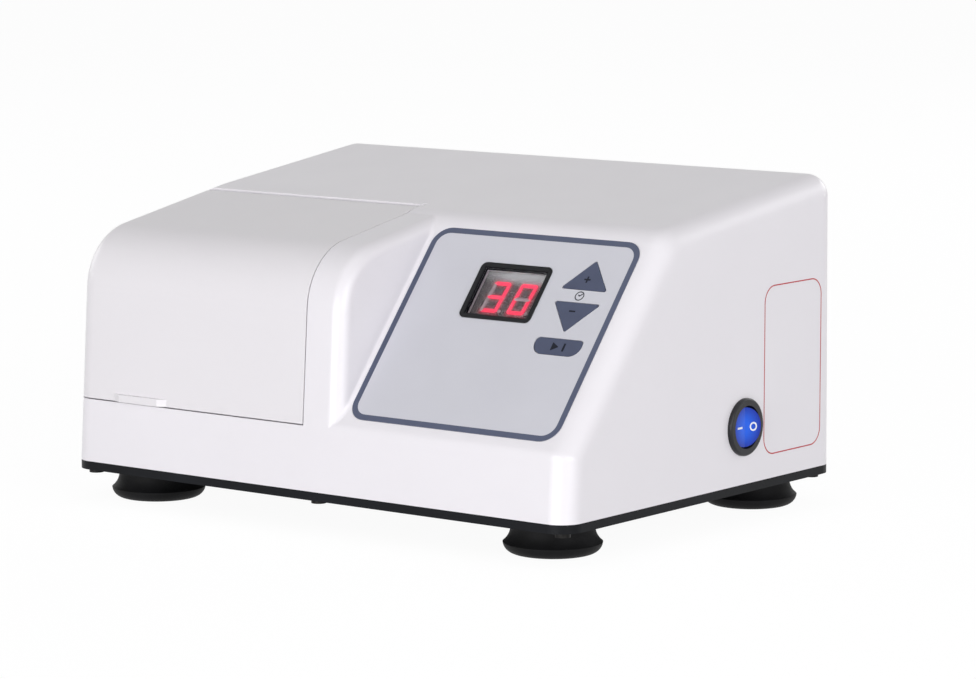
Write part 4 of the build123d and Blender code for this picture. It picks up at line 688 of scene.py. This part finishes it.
# Side print: a thin red frame with round corners, screen-printed on the cover's right side.
# The ink is a satin red, 0.5 mm wide and flat on the plastic; the field inside is bare.
red_ink = textured("red_screen_ink", "#B9373C", "#AD2F36", patch_mm=6, grain_mm=0.5,
                   depth_mm=0.004, roughness=(0.4, 0.5), Specular_IOR_Level=0.4)
print_front, print_rear = 39.3 * mm, 80.5 * mm
print_foot, print_top = 25.5 * mm, 93.5 * mm
print_corner = 7.0 * mm
print_line = 0.5 * mm
side_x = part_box("housing")[1].x
print_middle = Vector((side_x, (print_front + print_rear) / 2, (print_foot + print_top) / 2))
mesh = bmesh.new()
rounded_plate(mesh, print_rear - print_front, print_top - print_foot, print_corner)
hollow(mesh, print_line)
thicken(mesh, ink_thickness)
laid_on(mesh, flat_place(rearwards, upwards, outwards, print_middle))
side_frame = piece_from(mesh, "side_frame_print", red_ink, smooth=False)
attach(side_frame, "chassis")


# Floor: a broad sweep of white paper under the machine, evenly lit.
# It shows white to the eye and keeps a faint shadow under the feet.
def to_the_eye(tree):
    """1 where the camera, a reflection or glass sees the surface, and 0 where it gives light."""
    seen = add(tree, "LightPath")
    direct = add(tree, "Math", [(0, seen, "Is Camera Ray"), (1, seen, "Is Glossy Ray")],
                 operation="MAXIMUM")
    return add(tree, "Math", [(0, direct, "Value"), (1, seen, "Is Transmission Ray")],
               operation="MAXIMUM")


paper_half_width = 15.0
paper_glow = 1.05
paper_share = 0.9
mesh = bmesh.new()
bmesh.ops.create_grid(mesh, x_segments=1, y_segments=1, size=paper_half_width)
paper, tree, place, shader = new_finish("white_paper_sweep", Roughness=0.9, Specular_IOR_Level=0.1)
mottle(tree, place, shader, "#F0F0F1", "#ECECED", patch_mm=400)
white = add(tree, "Emission", Strength=paper_glow)
share = add(tree, "MapRange", [("Value", to_the_eye(tree), "Value")], To_Max=paper_share)
mixed = add(tree, "MixShader", [("Fac", share, "Result"), (1, shader, "BSDF"), (2, white, "Emission")])
output = next(node for node in tree.nodes if node.type == "OUTPUT_MATERIAL")
tree.links.new(mixed.outputs["Shader"], output.inputs["Surface"])
floor = piece_from(mesh, "paper_sweep", paper, smooth=False)


# Light: a pale room and four soft boxes, low in front, at the right, behind and at the left.
# The machine's top gets the least of them, its front the most.
room_light = 0.31
world = bpy.data.worlds.new("pale_room")
bpy.context.scene.world = world
world.use_nodes = True
tree = world.node_tree
tree.nodes.clear()
strength = add(tree, "MapRange", [("Value", to_the_eye(tree), "Value")], To_Min=room_light, To_Max=1.0)
room = add(tree, "Background", [("Strength", strength, "Result")], Color=(1.0, 1.0, 1.0, 1.0))
add(tree, "OutputWorld", [("Surface", room, "Background")])

machine_middle = Vector((0, 0, 0.07))


def soft_box(name, where, width, height, power):
    """Rectangular area light, in metres and watts, that faces the middle of the machine."""
    lamp = bpy.data.lights.new(name, "AREA")
    lamp.shape = "RECTANGLE"
    lamp.size = width
    lamp.size_y = height
    lamp.energy = power
    box = bpy.data.objects.new(name, lamp)
    box.location = where
    box.rotation_euler = (machine_middle - box.location).to_track_quat("-Z", "Y").to_euler()
    bpy.context.scene.collection.objects.link(box)


soft_box("front_box", where=(0.2, -2.2, 0.15), width=1.6, height=0.5, power=30.0)
soft_box("right_box", where=(1.9, -0.8, 0.55), width=1.4, height=1.0, power=19.5)
soft_box("back_box", where=(0.6, 2.2, 0.9), width=1.6, height=0.9, power=12.0)
soft_box("left_box", where=(-2.2, -0.2, 0.8), width=1.2, height=0.9, power=8.0)


# Camera: a long lens a little above the machine's top, looking at its front right corner.
# The angle, distance and focal length fix the picture's perspective.
camera_place = (0.97919, -1.24672, 0.28136)
camera_azimuth = math.radians(37.67)
camera_dip = math.radians(7.73)
focal_pixels = 3925
picture_pixels = 976
sensor_width = 36.0
camera_data = bpy.data.cameras.new("camera")
camera_data.sensor_width = sensor_width
camera_data.lens = focal_pixels * sensor_width / picture_pixels
camera_data.clip_start = 0.01
camera = bpy.data.objects.new("camera", camera_data)
camera.location = camera_place
camera.rotation_euler = (math.pi / 2 - camera_dip, 0, camera_azimuth)
bpy.context.scene.collection.objects.link(camera)
bpy.context.scene.camera = camera
bpy.context.scene.view_settings.view_transform = "Standard"

bpy.context.view_layer.update()
